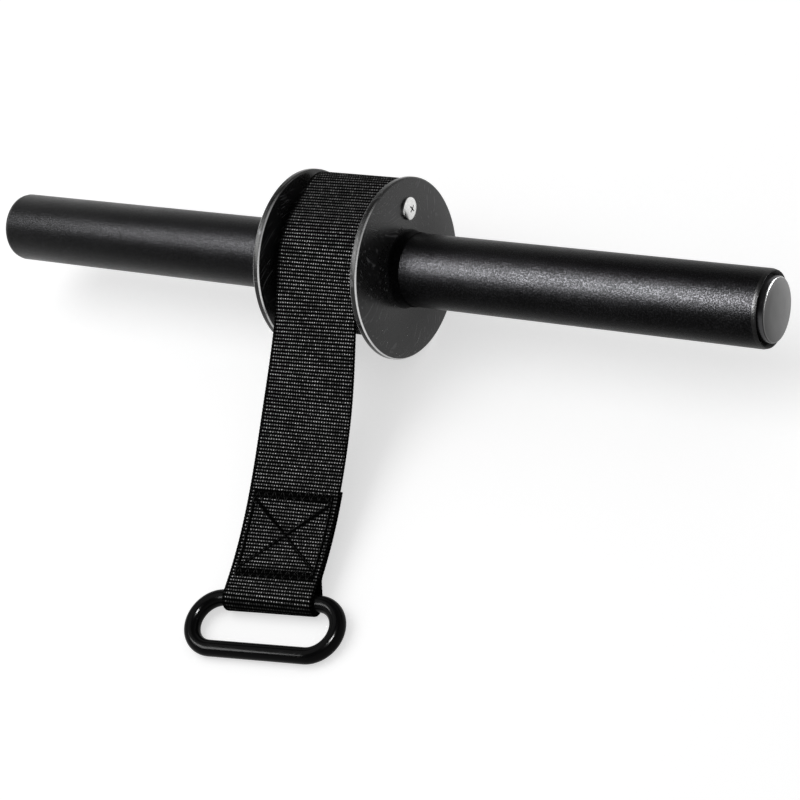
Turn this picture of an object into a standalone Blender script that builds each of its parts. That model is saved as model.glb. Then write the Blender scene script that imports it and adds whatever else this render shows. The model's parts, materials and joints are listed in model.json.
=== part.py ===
"""A wrist roller: a straight bar that both hands turn, with a flanged spool at its middle.

A webbing strap winds on the spool, and its free end is sewn round an oval ring that takes the
weight. X runs along the bar, the strap comes off the spool towards -Y, and the flanges, the
strap's end and the ring all stand on Z = 0. Sizes are in metres and angles in degrees.
"""

import math

import bmesh
import bpy
from mathutils import Vector

# Gap between pieces that touch, and between neighbouring layers of webbing
SEAT_GAP = 0.0003
LAYER_GAP = 0.0005

# Bar: a tube with a stepped plug in each end
TUBE_DIAMETER = 0.0381
TUBE_WALL = 0.0025
TUBE_LENGTH = 0.470
TUBE_BEVEL_RUN = 0.0012
TUBE_BEVEL_DEPTH = 0.0016
PLUG_DEPTH = 0.018
PLUG_GRIP_START = 0.003
PLUG_NECK_DIAMETER = 0.0319
PLUG_NECK_STAND = 0.0010
PLUG_FACE_DIAMETER = 0.0312
PLUG_FACE_STAND = 0.0023
PLUG_RIM_BEVEL = 0.0005

# Spool: two flanges and the drum between them
FLANGE_DIAMETER = 0.095
FLANGE_THICKNESS = 0.004
FLANGE_BEVEL = 0.0008
BOSS_WALL = 0.0009
BOSS_LENGTH = 0.0065
BOSS_BEVEL = 0.0004

# Anchor: a barrel nut between the flanges, held by a pan-head screw at each end.
# Angles round the bar start straight ahead, at -Y, and go up over the top.
ANCHOR_RADIUS = 0.0314
ANCHOR_ANGLE = 132.0
ANCHOR_DIAMETER = 0.009
SCREW_DIAMETER = 0.006
SCREW_GRIP = 0.012
SCREW_TIP_BEVEL = 0.0006
SCREW_HEAD_DIAMETER = 0.012
SCREW_HEAD_HEIGHT = 0.0038
SCREW_HEAD_EDGE = 0.0014
RECESS_SPAN = 0.0066
RECESS_SLOT = 0.0013
RECESS_DEPTH = 0.0022

# Webbing
STRAP_WIDTH = 0.0515
STRAP_THICKNESS = 0.0020
STRAP_EDGE_BEVEL = 0.0004
STRAP_LEFT_ROOM = 0.0053
STRAP_RIGHT_ROOM = 0.0004
ROLL_RADIUS = 0.0388
ROLL_OVER_ANCHOR = 0.0158
STRAP_LEAVES_AT = 71.0
TURN_OVERLAP = 0.014
FREE_LENGTH = 0.190
RING_LAP = 0.044
ANCHOR_LAP = 0.012
ANCHOR_WRAP = 285.0

# How the free strap lies: shares of its length, its slope down there, its turn to the right, and
# how far it leans down to the right. It bends with the roll first, a little less than the roll
# does, and the slopes after that lay it down to the ground.
LIE_SHARES = (0.0, 0.10, 0.245, 0.49, 0.73, 1.0)
ROLL_FOLLOW = 0.83
LIE_SLOPES = (37.8, 23.2, 12.8)
END_SLOPE = 2.0
LIE_TURNS = (0.0, -0.7, 3.0, 9.2, 10.9, 8.1)
LIE_LEANS = (0.0, 0.0, -2.0, 2.8, 2.3, 0.0)

# Ring: an oval of round bar
RING_BAR_DIAMETER = 0.0084
RING_ROOM = 0.0030
RING_BEND_RADIUS = 0.0140

# Fineness of the round shapes
DISC_SIDES = 96
TUBE_SIDES = 64
SCREW_SIDES = 32
RING_BAR_SIDES = 18
RING_BEND_STEPS = 12
TURN_STEPS = 96
FREE_STEPS = 48
EYE_STEP = 12.0

# Derived sizes
TUBE_RADIUS = TUBE_DIAMETER / 2
BORE_RADIUS = TUBE_RADIUS - TUBE_WALL
FLANGE_RADIUS = FLANGE_DIAMETER / 2
SLEEVE_BORE = TUBE_RADIUS + SEAT_GAP
SPOOL_WIDTH = STRAP_WIDTH + STRAP_LEFT_ROOM + STRAP_RIGHT_ROOM
STRAP_OFFSET = (STRAP_LEFT_ROOM - STRAP_RIGHT_ROOM) / 2
RING_STRAIGHT = STRAP_WIDTH + RING_ROOM
SCREW_RADIUS = SCREW_DIAMETER / 2
SCREW_BORE = SCREW_RADIUS + SEAT_GAP
RING_BAR_RADIUS = RING_BAR_DIAMETER / 2
TURN_DROP = STRAP_THICKNESS + LAYER_GAP
ANCHOR_EYE = ANCHOR_DIAMETER / 2 + SEAT_GAP + STRAP_THICKNESS / 2
RING_EYE = RING_BAR_RADIUS + SEAT_GAP + STRAP_THICKNESS / 2
INNER_TURN = ANCHOR_RADIUS - ANCHOR_EYE
DRUM_RADIUS = INNER_TURN - STRAP_THICKNESS / 2 - SEAT_GAP
RING_HINGE_HEIGHT = RING_EYE + STRAP_THICKNESS / 2


# Directions round the bar

def spoke(angle):
    """Unit vector out from the bar's axis."""
    return Vector((0, -math.cos(math.radians(angle)), math.sin(math.radians(angle))))


def tangent(angle):
    """Unit vector round the bar, the way the angle grows."""
    return Vector((0, math.sin(math.radians(angle)), math.cos(math.radians(angle))))


ANCHOR = spoke(ANCHOR_ANGLE) * ANCHOR_RADIUS


# Building

def material(name, colour, roughness, metallic):
    made = bpy.data.materials.new(name)
    made.use_nodes = True
    shader = made.node_tree.nodes["Principled BSDF"]
    shader.inputs["Base Color"].default_value = (*colour, 1.0)
    shader.inputs["Roughness"].default_value = roughness
    shader.inputs["Metallic"].default_value = metallic
    made.diffuse_color = (*colour, 1.0)
    return made


def add_object(name, shape, surface, parent):
    """Turns a bmesh into a named object of the scene, shaded smooth but for its real edges."""
    bmesh.ops.recalc_face_normals(shape, faces=shape.faces)
    mesh = bpy.data.meshes.new(name)
    shape.to_mesh(mesh)
    shape.free()
    mesh.shade_smooth()
    mesh.set_sharp_from_angle(angle=math.radians(35))
    if surface:
        mesh.materials.append(surface)
    made = bpy.data.objects.new(name, mesh)
    bpy.context.scene.collection.objects.link(made)
    made.parent = parent
    return made


def add_empty(name, place, parent=None):
    made = bpy.data.objects.new(name, None)
    made.location = place
    made.parent = parent
    bpy.context.scene.collection.objects.link(made)
    return made


def turned(profile, sides, middle=Vector()):
    """Revolves a closed profile of (x, radius) points round a line along X."""
    shape = bmesh.new()
    points = [shape.verts.new(middle + Vector((x, 0, radius))) for x, radius in profile]
    edges = [shape.edges.new((a, b)) for a, b in zip(points, points[1:] + points[:1])]
    bmesh.ops.spin(
        shape, geom=points + edges, cent=middle, axis=(1, 0, 0), angle=math.tau, steps=sides
    )
    bmesh.ops.remove_doubles(shape, verts=shape.verts, dist=1e-7)
    bmesh.ops.dissolve_degenerate(shape, edges=shape.edges, dist=1e-7)
    on_axis = [e for e in shape.edges if not e.link_faces]
    bmesh.ops.delete(shape, geom=on_axis, context="EDGES")
    return shape


def mirrored(profile):
    return [(-x, radius) for x, radius in profile]


def prism(outline, start, end):
    """Extrudes an outline that lies across the bar, from one X to another."""
    shape = bmesh.new()
    face = shape.faces.new([shape.verts.new(Vector((start, p.y, p.z))) for p in outline])
    pushed = bmesh.ops.extrude_face_region(shape, geom=[face])["geom"]
    moved = [item for item in pushed if isinstance(item, bmesh.types.BMVert)]
    bmesh.ops.translate(shape, verts=moved, vec=(end - start, 0, 0))
    return shape


def swept(centres, sides, section, closed=False):
    """Carries a section along a line of centres. Each point of it is (across, out)."""
    shape = bmesh.new()
    rings = []
    last = len(centres) - 1
    for i, (centre, side) in enumerate(zip(centres, sides)):
        before = centres[i - 1] if closed or i else centres[0]
        after = centres[(i + 1) % len(centres)] if closed or i < last else centres[last]
        out = side.cross(after - before).normalized()
        across = (after - before).cross(out).normalized()
        rings.append([shape.verts.new(centre + across * a + out * b) for a, b in section])
    pairs = list(zip(rings, rings[1:]))
    if closed:
        pairs.append((rings[-1], rings[0]))
    else:
        shape.faces.new(rings[0])
        shape.faces.new(rings[-1])
    for ring, following in pairs:
        for i in range(len(section)):
            shape.faces.new((ring[i - 1], ring[i], following[i], following[i - 1]))
    return shape


def cut(body, cutter):
    """Takes the cutter out of the body, and keeps it in the scene as a hidden guide."""
    cutter.hide_render = True
    cutter.display_type = "WIRE"
    hole = body.modifiers.new(cutter.name, "BOOLEAN")
    hole.operation = "DIFFERENCE"
    hole.solver = "EXACT"
    hole.object = cutter


def rod(radius, start, end):
    """Profile of a plain cylinder, for cutters."""
    return [(start, 0), (start, radius), (end, radius), (end, 0)]


# Webbing

def strap_section():
    """Flat strip with its two edges rounded off."""
    w, t, c = STRAP_WIDTH / 2, STRAP_THICKNESS / 2, STRAP_EDGE_BEVEL
    upper = [(w, t - c), (w - c, t), (c - w, t), (-w, t - c)]
    return upper + [(-a, -b) for a, b in upper]


def oval_arcs(base, over):
    """The two arcs of a belt round the bar and the anchor, as (centre, radius, first, last)."""
    lean = math.degrees(math.acos((base - over) / ANCHOR_RADIUS))
    first, last = ANCHOR_ANGLE - lean, ANCHOR_ANGLE + lean
    return (ANCHOR, over, first, last), (Vector(), base, last, first + 360)


def oval_outline(base, over):
    return [
        centre + spoke(first + (last - first) * i / 24) * radius
        for centre, radius, first, last in oval_arcs(base, over)
        for i in range(25)
    ]


def roll_legs():
    """The outer turn's middle line from where the strap leaves, as arcs each with a run after it."""
    (pin_centre, over, first, last), (centre, base, _, _) = oval_arcs(
        ROLL_RADIUS - STRAP_THICKNESS / 2, ROLL_OVER_ANCHOR - STRAP_THICKNESS / 2
    )
    run = math.sqrt(ANCHOR_RADIUS**2 - (base - over) ** 2)
    return (
        (centre, base, STRAP_LEAVES_AT, first, run),
        (pin_centre, over, first, last, run),
        (centre, base, last, STRAP_LEAVES_AT + 360, 0.0),
    )


TURN_LENGTH = sum(radius * math.radians(last - first) + run for _, radius, first, last, run in roll_legs())


def roll_at(distance, depth=0.0):
    """Point on the spiral that far in from where the strap leaves, and that deep under its middle."""
    left = distance % TURN_LENGTH
    sunk = depth + TURN_DROP * distance / TURN_LENGTH
    for centre, radius, first, last, run in roll_legs():
        arc = radius * math.radians(last - first)
        if left <= arc:
            angle = first + math.degrees(left / radius)
            return centre + spoke(angle) * (radius - sunk)
        left -= arc
        if left <= run:
            return centre + spoke(last) * (radius - sunk) + tangent(last) * left
        left -= run
    return centre + spoke(last) * (radius - sunk)


def smooth_value(shares, values, share):
    """Reads a smooth curve through the values, by cubic pieces with matched slopes."""
    last = len(shares) - 1
    k = max(i for i in range(last) if shares[i] <= share)
    slopes = []
    for i in (k, k + 1):
        low, high = max(i - 1, 0), min(i + 1, last)
        slopes.append((values[high] - values[low]) / (shares[high] - shares[low]))
    width = shares[k + 1] - shares[k]
    u = (share - shares[k]) / width
    rise = values[k + 1] - values[k]
    ease = u * u * (3 - 2 * u)
    start = u * (1 - u) ** 2 * slopes[0] * width
    end = u * u * (u - 1) * slopes[1] * width
    return values[k] + rise * ease + start + end


def free_directions(steepness):
    """Unit vectors along the free strap, one for the middle of each of its short steps."""
    leaving = 90 - STRAP_LEAVES_AT
    off_roll = leaving + ROLL_FOLLOW * math.degrees(LIE_SHARES[1] * FREE_LENGTH / ROLL_RADIUS)
    slopes = [leaving, off_roll, *(steepness * slope for slope in LIE_SLOPES), END_SLOPE]
    found = []
    for i in range(FREE_STEPS):
        share = (i + 0.5) / FREE_STEPS
        slope = math.radians(smooth_value(LIE_SHARES, slopes, share))
        turn = math.radians(smooth_value(LIE_SHARES, LIE_TURNS, share))
        found.append(
            Vector((math.sin(turn) * math.cos(slope), -math.cos(turn) * math.cos(slope), -math.sin(slope)))
        )
    return found


def free_line():
    """The free strap's middle line from the spool to the top of its eye, laid down on the ground."""
    start = roll_at(0)
    eye_top = RING_HINGE_HEIGHT + RING_EYE * math.cos(math.radians(END_SLOPE))
    wanted = start.z + FLANGE_RADIUS - eye_top
    step = FREE_LENGTH / FREE_STEPS
    flat, steep = 0.0, 1.8
    for _ in range(40):
        steepness = (flat + steep) / 2
        dropped = -step * sum(way.z for way in free_directions(steepness))
        flat, steep = (steepness, steep) if dropped < wanted else (flat, steepness)
    line = [start]
    for way in free_directions(steepness):
        line.append(line[-1] + way * step)
    return line


def eye_path(radius, lap):
    """A sewn eye in the webbing's own plane, from its first touch to the end of the lap.

    Each point is (ahead, across) of where the webbing reaches the eye. It goes round the bar,
    comes back at a slant and lies along itself one layer off.
    """
    slant = math.radians(42)
    ease = 3 * STRAP_THICKNESS
    slanted = (radius * (1 + math.cos(slant)) - TURN_DROP - ease * (1 - math.cos(slant))) / math.sin(slant)
    count = round((180 + math.degrees(slant)) / EYE_STEP)
    around = [(math.pi + slant) * i / count for i in range(count + 1)]
    points = [(radius * math.sin(a), radius * (1 - math.cos(a))) for a in around]
    ahead = points[-1][0] - slanted * math.cos(slant)
    across = points[-1][1] - slanted * math.sin(slant)
    for i in range(6):
        a = slant * (1 - i / 5)
        points.append(
            (ahead - ease * (math.sin(slant) - math.sin(a)), TURN_DROP + ease * (1 - math.cos(a)))
        )
    steps = math.ceil(lap / 0.004)
    end = points[-1][0]
    points += [(end - lap * i / steps, TURN_DROP) for i in range(1, steps + 1)]
    return points[1:]


def least_gap(centres):
    """Least clear distance between stretches of one strip that aren't next to each other."""
    found = math.inf
    apart = 4 * STRAP_THICKNESS
    along = [0.0]
    for a, b in zip(centres, centres[1:]):
        along.append(along[-1] + (b - a).length)
    for i, point in enumerate(centres):
        for j, (a, b) in enumerate(zip(centres, centres[1:])):
            if min(abs(along[j] - along[i]), abs(along[j + 1] - along[i])) < apart:
                continue
            share = (point - a).dot(b - a) / (b - a).length_squared
            nearest = a + (b - a) * min(max(share, 0), 1)
            found = min(found, (point - nearest).length - STRAP_THICKNESS)
    return found


def strip(name, centres, across, surface, parent):
    """A length of webbing along its middle line."""
    print(f"{name}: least gap to itself {1000 * least_gap(centres):.2f} mm")
    return add_object(name, swept(centres, across, strap_section()), surface, parent)


# Pieces that turn with the hands

def make_tube(surface, axis):
    half, inner = TUBE_LENGTH / 2, BORE_RADIUS
    shoulder, lip = half - TUBE_BEVEL_RUN, TUBE_RADIUS - TUBE_BEVEL_DEPTH
    right = [(half, inner), (half, lip), (shoulder, TUBE_RADIUS)]
    add_object("bar_tube", turned(right + mirrored(right)[::-1], TUBE_SIDES), surface, axis)


def make_end_plug(name, hand, surface, axis):
    grip, neck = BORE_RADIUS - SEAT_GAP, PLUG_NECK_DIAMETER / 2
    face, half = PLUG_FACE_DIAMETER / 2, TUBE_LENGTH / 2
    profile = [
        (half - PLUG_DEPTH, 0),
        (half - PLUG_DEPTH, grip - PLUG_RIM_BEVEL),
        (half - PLUG_DEPTH + PLUG_RIM_BEVEL, grip),
        (half - PLUG_GRIP_START, grip),
        (half - PLUG_GRIP_START, neck),
        (half + PLUG_NECK_STAND, neck),
        (half + PLUG_NECK_STAND, face),
        (half + PLUG_FACE_STAND - PLUG_RIM_BEVEL, face),
        (half + PLUG_FACE_STAND, face - PLUG_RIM_BEVEL),
        (half + PLUG_FACE_STAND, 0),
    ]
    add_object(name, turned([(hand * x, r) for x, r in profile], TUBE_SIDES), surface, axis)


def make_flange(name, hand, surface, axis):
    inner, outer = SPOOL_WIDTH / 2, SPOOL_WIDTH / 2 + FLANGE_THICKNESS
    boss, tip = SLEEVE_BORE + BOSS_WALL, outer + BOSS_LENGTH
    profile = [
        (inner, SLEEVE_BORE),
        (inner, FLANGE_RADIUS - FLANGE_BEVEL),
        (inner + FLANGE_BEVEL, FLANGE_RADIUS),
        (outer - FLANGE_BEVEL, FLANGE_RADIUS),
        (outer, FLANGE_RADIUS - FLANGE_BEVEL),
        (outer, boss + BOSS_BEVEL),
        (outer + BOSS_BEVEL, boss),
        (tip - BOSS_BEVEL, boss),
        (tip, boss - BOSS_BEVEL),
        (tip, SLEEVE_BORE),
    ]
    disc = turned([(hand * x, r) for x, r in profile], DISC_SIDES)
    flange = add_object(name, disc, surface, axis)
    hole = turned(rod(SCREW_BORE, hand * (inner - BOSS_LENGTH), hand * tip), SCREW_SIDES, ANCHOR)
    cut(flange, add_object(name + "_screw_hole", hole, None, axis))


def make_drum(surface, axis):
    end = SPOOL_WIDTH / 2 - SEAT_GAP
    right = [(end, SLEEVE_BORE), (end, DRUM_RADIUS)]
    add_object("spool_drum", turned(right + mirrored(right)[::-1], DISC_SIDES), surface, axis)


def make_anchor_pin(surface, axis):
    end = SPOOL_WIDTH / 2 - SEAT_GAP
    bore_end = SPOOL_WIDTH / 2 - SCREW_GRIP - SEAT_GAP
    radius = ANCHOR_DIAMETER / 2
    right = [(bore_end, 0), (bore_end, SCREW_BORE), (end, SCREW_BORE), (end, radius)]
    pin = turned(right + mirrored(right)[::-1], SCREW_SIDES, ANCHOR)
    add_object("anchor_pin", pin, surface, axis)


def make_anchor_screw(name, hand, surface, axis):
    seat = SPOOL_WIDTH / 2 + FLANGE_THICKNESS + SEAT_GAP
    tip, top = SPOOL_WIDTH / 2 - SCREW_GRIP, seat + SCREW_HEAD_HEIGHT
    head = SCREW_HEAD_DIAMETER / 2
    dome = SCREW_HEAD_HEIGHT - SCREW_HEAD_EDGE
    profile = [(tip, 0), (tip, SCREW_RADIUS - SCREW_TIP_BEVEL), (tip + SCREW_TIP_BEVEL, SCREW_RADIUS)]
    profile += [(seat, SCREW_RADIUS), (seat, head)]
    for i in range(7):
        a = math.radians(90 * i / 6)
        profile.append((top - dome * (1 - math.sin(a)), head * math.cos(a)))
    screw = turned([(hand * x, r) for x, r in profile], SCREW_SIDES, ANCHOR)
    made = add_object(name, screw, surface, axis)
    for slot, (wide, high) in enumerate(((RECESS_SPAN, RECESS_SLOT), (RECESS_SLOT, RECESS_SPAN))):
        corners = [
            ANCHOR + Vector((0, a * wide / 2, b * high / 2)) for a, b in ((-1, -1), (1, -1), (1, 1), (-1, 1))
        ]
        bar = prism(corners, hand * (top - RECESS_DEPTH), hand * (top + RECESS_DEPTH))
        cut(made, add_object(f"{name}_slot_{slot}", bar, None, axis))


def make_inner_end(surface, axis):
    """The webbing's sewn eye round the anchor, after a turn on the drum."""
    turns = 64
    centres = []
    for i in range(turns + 1):
        angle = ANCHOR_ANGLE - ANCHOR_WRAP * (1 - i / turns)
        centres.append(spoke(angle) * INNER_TURN)
    for ahead, across in eye_path(ANCHOR_EYE, ANCHOR_LAP):
        angle = ANCHOR_ANGLE + math.degrees(min(ahead, 0) / INNER_TURN)
        centres.append(spoke(angle) * (INNER_TURN + across) + tangent(angle) * max(ahead, 0))
    shift = Vector((STRAP_OFFSET, 0, 0))
    centres = [centre + shift for centre in centres]
    strip("strap_inner_end", centres, [Vector((1, 0, 0))] * len(centres), surface, axis)


# Pieces of the strap that lie still

def make_winding(surface, frame):
    """The outer turn, from where the strap leaves to a little under itself."""
    end = TURN_LENGTH + TURN_OVERLAP - SEAT_GAP
    count = round(TURN_STEPS * end / TURN_LENGTH)
    shift = Vector((STRAP_OFFSET, 0, 0))
    centres = [roll_at(end * i / count) + shift for i in range(count + 1)]
    strip("strap_winding", centres, [Vector((1, 0, 0))] * len(centres), surface, frame)


def make_core(surface, frame):
    """The layers under the outer turn, with the step that its inner end butts against."""
    depth = STRAP_THICKNESS / 2 + LAYER_GAP
    start, end = STRAP_OFFSET - STRAP_WIDTH / 2, STRAP_OFFSET + STRAP_WIDTH / 2
    outline = [
        roll_at(TURN_OVERLAP + TURN_LENGTH * i / TURN_STEPS, depth) for i in range(TURN_STEPS + 1)
    ]
    core = add_object("strap_wound_core", prism(outline, start, end), surface, frame)
    room = oval_outline(
        INNER_TURN + TURN_DROP + STRAP_THICKNESS / 2 + SEAT_GAP, ANCHOR_EYE + STRAP_THICKNESS
    )
    cavity = prism(room, start - STRAP_THICKNESS, end + STRAP_THICKNESS)
    cut(core, add_object("strap_core_room", cavity, None, frame))


def upward(side, way):
    """Unit vector square to both, on the side that faces up."""
    out = side.cross(way).normalized()
    return out if out.z > 0 else -out


def strap_side(way, share):
    """Unit vector across the free strap at a share of its length, pointing right."""
    level = Vector((-way.y, way.x, 0)).normalized()
    lean = math.radians(smooth_value(LIE_SHARES, LIE_LEANS, share))
    return level * math.cos(lean) - upward(level, way) * math.sin(lean)


def make_free_strap(surface, frame):
    """The free length and its sewn eye. Returns the ring's hinge point and the way across there."""
    line = free_line()
    step = FREE_LENGTH / FREE_STEPS
    ways = [(b - a).normalized() for a, b in zip(line, line[1:])]
    sides = [strap_side(way, (k + 0.5) / FREE_STEPS) for k, way in enumerate(ways)]
    centres = [line[0] + ways[0] * SEAT_GAP, *line[1:]]
    across = [sides[0], *sides]
    for forward, down in eye_path(RING_EYE, RING_LAP):
        back = -min(forward, 0) / step
        k = FREE_STEPS - 1 - int(back)
        here = line[k + 1].lerp(line[k], back - int(back))
        centres.append(here + ways[k] * max(forward, 0) - upward(sides[k], ways[k]) * down)
        across.append(sides[k])
    shift = Vector((STRAP_OFFSET, 0, 0))
    centres = [centre + shift for centre in centres]
    strip("strap", centres, across, surface, frame)
    return line[-1] + shift - upward(sides[-1], ways[-1]) * RING_EYE, sides[-1]


def make_ring(side, surface, hinge):
    """The oval, hung from its rear bar and leaning so that its front bar lies on the ground."""
    fall = (RING_HINGE_HEIGHT - RING_BAR_RADIUS) / (2 * RING_BEND_RADIUS)
    level = Vector((side.y, -side.x, 0))
    forward = level * math.sqrt(1 - fall * fall) - Vector((0, 0, fall))
    across = side.cross(forward)
    centres, outs = [], []
    for hand in (1, -1):
        for i in range(RING_BEND_STEPS + 1):
            a = math.pi * i / RING_BEND_STEPS
            over, on = math.sin(a), 1 - math.cos(a)
            if hand < 0:
                on = 2 - on
            centres.append(
                side * hand * (RING_STRAIGHT / 2 + RING_BEND_RADIUS * over) + forward * RING_BEND_RADIUS * on
            )
            outs.append(across)
    section = []
    for i in range(RING_BAR_SIDES):
        a = math.tau * i / RING_BAR_SIDES
        section.append((RING_BAR_RADIUS * math.cos(a), RING_BAR_RADIUS * math.sin(a)))
    return add_object("ring", swept(centres, outs, section, closed=True), surface, hinge)


def main():
    for item in list(bpy.data.objects):
        bpy.data.objects.remove(item)

    coated = material("black_texture_coat", (0.020, 0.020, 0.022), 0.48, 0.6)
    disc_coat = material("black_disc_coat", (0.024, 0.024, 0.025), 0.52, 0.6)
    plug_steel = material("satin_steel", (0.22, 0.22, 0.22), 0.35, 1.0)
    bright_zinc = material("bright_zinc", (0.75, 0.75, 0.74), 0.22, 1.0)
    plain_steel = material("plain_steel", (0.30, 0.30, 0.31), 0.40, 1.0)
    webbing = material("black_webbing", (0.015, 0.015, 0.016), 0.80, 0.0)
    ring_coat = material("black_ring_coat", (0.012, 0.012, 0.013), 0.25, 0.6)

    frame = add_empty("strap_frame", (0, 0, FLANGE_RADIUS))
    axis = add_empty("roller_axis", (0, 0, 0), frame)

    make_tube(coated, axis)
    make_drum(disc_coat, axis)
    make_anchor_pin(plain_steel, axis)
    for word, hand in (("left", -1), ("right", 1)):
        make_end_plug(f"{word}_end_plug", hand, plug_steel, axis)
        make_flange(f"{word}_flange", hand, disc_coat, axis)
        make_anchor_screw(f"{word}_anchor_screw", hand, bright_zinc, axis)
    make_inner_end(webbing, axis)
    make_winding(webbing, frame)
    make_core(webbing, frame)
    hinge_place, side = make_free_strap(webbing, frame)
    hinge = add_empty("ring_hinge", hinge_place, frame)
    ring = make_ring(side, ring_coat, hinge)

    # The origin is under the middle of the whole, so the frame moves back by half the ring's reach
    front = min(corner.co.y for corner in ring.data.vertices) + hinge_place.y
    frame.location.y = -(front + FLANGE_RADIUS) / 2


main()
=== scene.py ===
"""Looks of a wrist roller: two grips, a spool, the webbing that winds on it, and an oval ring.

Every operator models one piece, or one group of like pieces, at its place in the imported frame.
Sizes are in metres and angles in degrees. The bar lies along X, and the strap leaves the spool
towards -Y. Angles round the bar start at -Y and go up over the top.
"""

import json
import math

import bpy
import numpy as np
from bpy.props import FloatProperty, FloatVectorProperty, IntProperty, PointerProperty
from mathutils import Matrix, Vector

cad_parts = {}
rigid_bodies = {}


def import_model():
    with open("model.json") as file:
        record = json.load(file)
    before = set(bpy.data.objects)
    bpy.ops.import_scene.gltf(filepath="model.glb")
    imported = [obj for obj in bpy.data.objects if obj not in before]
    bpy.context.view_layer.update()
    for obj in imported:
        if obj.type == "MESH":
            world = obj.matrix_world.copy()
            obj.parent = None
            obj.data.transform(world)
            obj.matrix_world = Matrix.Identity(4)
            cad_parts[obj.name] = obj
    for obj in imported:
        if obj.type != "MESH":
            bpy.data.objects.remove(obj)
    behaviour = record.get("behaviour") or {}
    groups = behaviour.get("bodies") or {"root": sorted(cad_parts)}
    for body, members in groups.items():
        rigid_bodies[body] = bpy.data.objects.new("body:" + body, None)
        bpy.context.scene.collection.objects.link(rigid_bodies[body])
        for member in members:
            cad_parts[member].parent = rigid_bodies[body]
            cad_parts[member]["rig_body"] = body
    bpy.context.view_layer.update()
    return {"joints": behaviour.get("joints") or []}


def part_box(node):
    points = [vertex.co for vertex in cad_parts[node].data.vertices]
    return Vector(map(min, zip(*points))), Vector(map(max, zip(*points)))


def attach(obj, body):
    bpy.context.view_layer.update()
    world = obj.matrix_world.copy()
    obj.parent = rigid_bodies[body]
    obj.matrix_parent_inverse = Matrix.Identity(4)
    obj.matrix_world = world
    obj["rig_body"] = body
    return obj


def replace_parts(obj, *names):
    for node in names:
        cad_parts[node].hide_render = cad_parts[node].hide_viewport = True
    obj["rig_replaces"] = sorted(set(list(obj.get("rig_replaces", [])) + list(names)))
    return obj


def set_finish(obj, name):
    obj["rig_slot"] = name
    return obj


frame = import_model()
JOINTS = {joint["name"]: joint for joint in frame["joints"]}
AXIS = Vector(JOINTS["roller_turn"]["pos_m"])
HINGE = Vector(JOINTS["ring_swing"]["pos_m"])
HINGE_WAY = Vector(JOINTS["ring_swing"]["axis"])

bl_info = {
    "name": "Wrist Roller Looks",
    "version": (1, 0, 0),
    "blender": (4, 5, 0),
    "location": "3D View > Sidebar > Wrist Roller",
    "description": "Models the grips, spool, webbing and ring of a wrist roller round its frame",
    "category": "Object",
}


# Settings

def number(label, default, description, **limits):
    return FloatProperty(name=label, description=description, default=default, **limits)


def size(*words):
    return number(*words, min=0.0, unit="LENGTH", precision=5)


def share(*words):
    return number(*words, min=0.0, max=1.0, subtype="FACTOR")


def watts(*words):
    return number(*words, min=0.0, unit="POWER")


def colour(label, default, description):
    return FloatVectorProperty(
        name=label, description=description, default=default, min=0.0, max=1.0, size=3, subtype="COLOR"
    )


class RollerSizes(bpy.types.PropertyGroup):
    """Sizes of the hard pieces."""

    tube_diameter: size("Bar diameter", 0.0381, "Outside of the tube that both hands hold")
    tube_wall: size("Bar wall", 0.0025, "Thickness of the tube's wall")
    tube_length: size("Bar length", 0.4716, "From end to end of the tube")
    tube_edge_run: size("Bar edge run", 0.0020, "How far the bevel at the tube's end runs along it")
    tube_edge_depth: size("Bar edge depth", 0.00055, "How far that bevel cuts in")
    tube_mouth: size("Bar mouth", 0.0018, "How far the wide bevel inside the tube's mouth runs in")
    plug_depth: size("Plug depth", 0.018, "How far the plug reaches into the tube")
    plug_neck_diameter: size("Plug neck", 0.0319, "Dark shoulder of the plug")
    plug_neck_stand: size("Plug neck stand", 0.0021, "How far the shoulder stands out of the tube")
    plug_face_diameter: size("Plug face", 0.0312, "Satin face of the plug")
    plug_face_stand: size("Plug face stand", 0.0028, "How far the face stands out of the tube")
    flange_diameter: size("Flange diameter", 0.095, "The two discs of the spool")
    flange_thickness: size("Flange thickness", 0.004, "Thickness of each disc")
    flange_edge: size("Flange edge", 0.0008, "Bevel round the rims of the discs")
    spool_width: size("Spool width", 0.0572, "Clear width between the discs")
    boss_wall: size("Boss wall", 0.0005, "Wall of the low boss round the tube")
    boss_length: size("Boss length", 0.0065, "How far the boss stands off its disc")
    anchor_radius: size("Anchor radius", 0.0314, "From the bar's axis to the anchor's")
    anchor_diameter: size("Anchor diameter", 0.009, "The barrel nut that holds the webbing")
    screw_diameter: size("Screw diameter", 0.006, "Thread of the anchor screws")
    screw_hole: size("Screw hole", 0.0066, "Hole for the screw through each disc")
    screw_grip: size("Screw grip", 0.012, "Length of the screw under its head")
    head_diameter: size("Screw head diameter", 0.012, "Round head of the anchor screws")
    head_height: size("Screw head height", 0.0026, "Height of that head")
    head_side: size("Screw head side", 0.0009, "Height of the head's straight side")
    recess_span: size("Recess span", 0.0066, "Width of the cross recess from tip to tip")
    recess_slot: size("Recess slot", 0.0012, "Width of one arm of the recess")
    recess_depth: size("Recess depth", 0.0015, "Depth of the recess")
    ring_bar: size("Ring bar", 0.0084, "Thickness of the ring's bar")
    ring_straight: size("Ring straight", 0.0545, "Length of the ring's straight sides")
    ring_bend: size("Ring bend", 0.0140, "Radius of the ring's round ends, to the bar's middle")
    seat_gap: size("Seat gap", 0.0003, "Room between pieces that touch")


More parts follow.
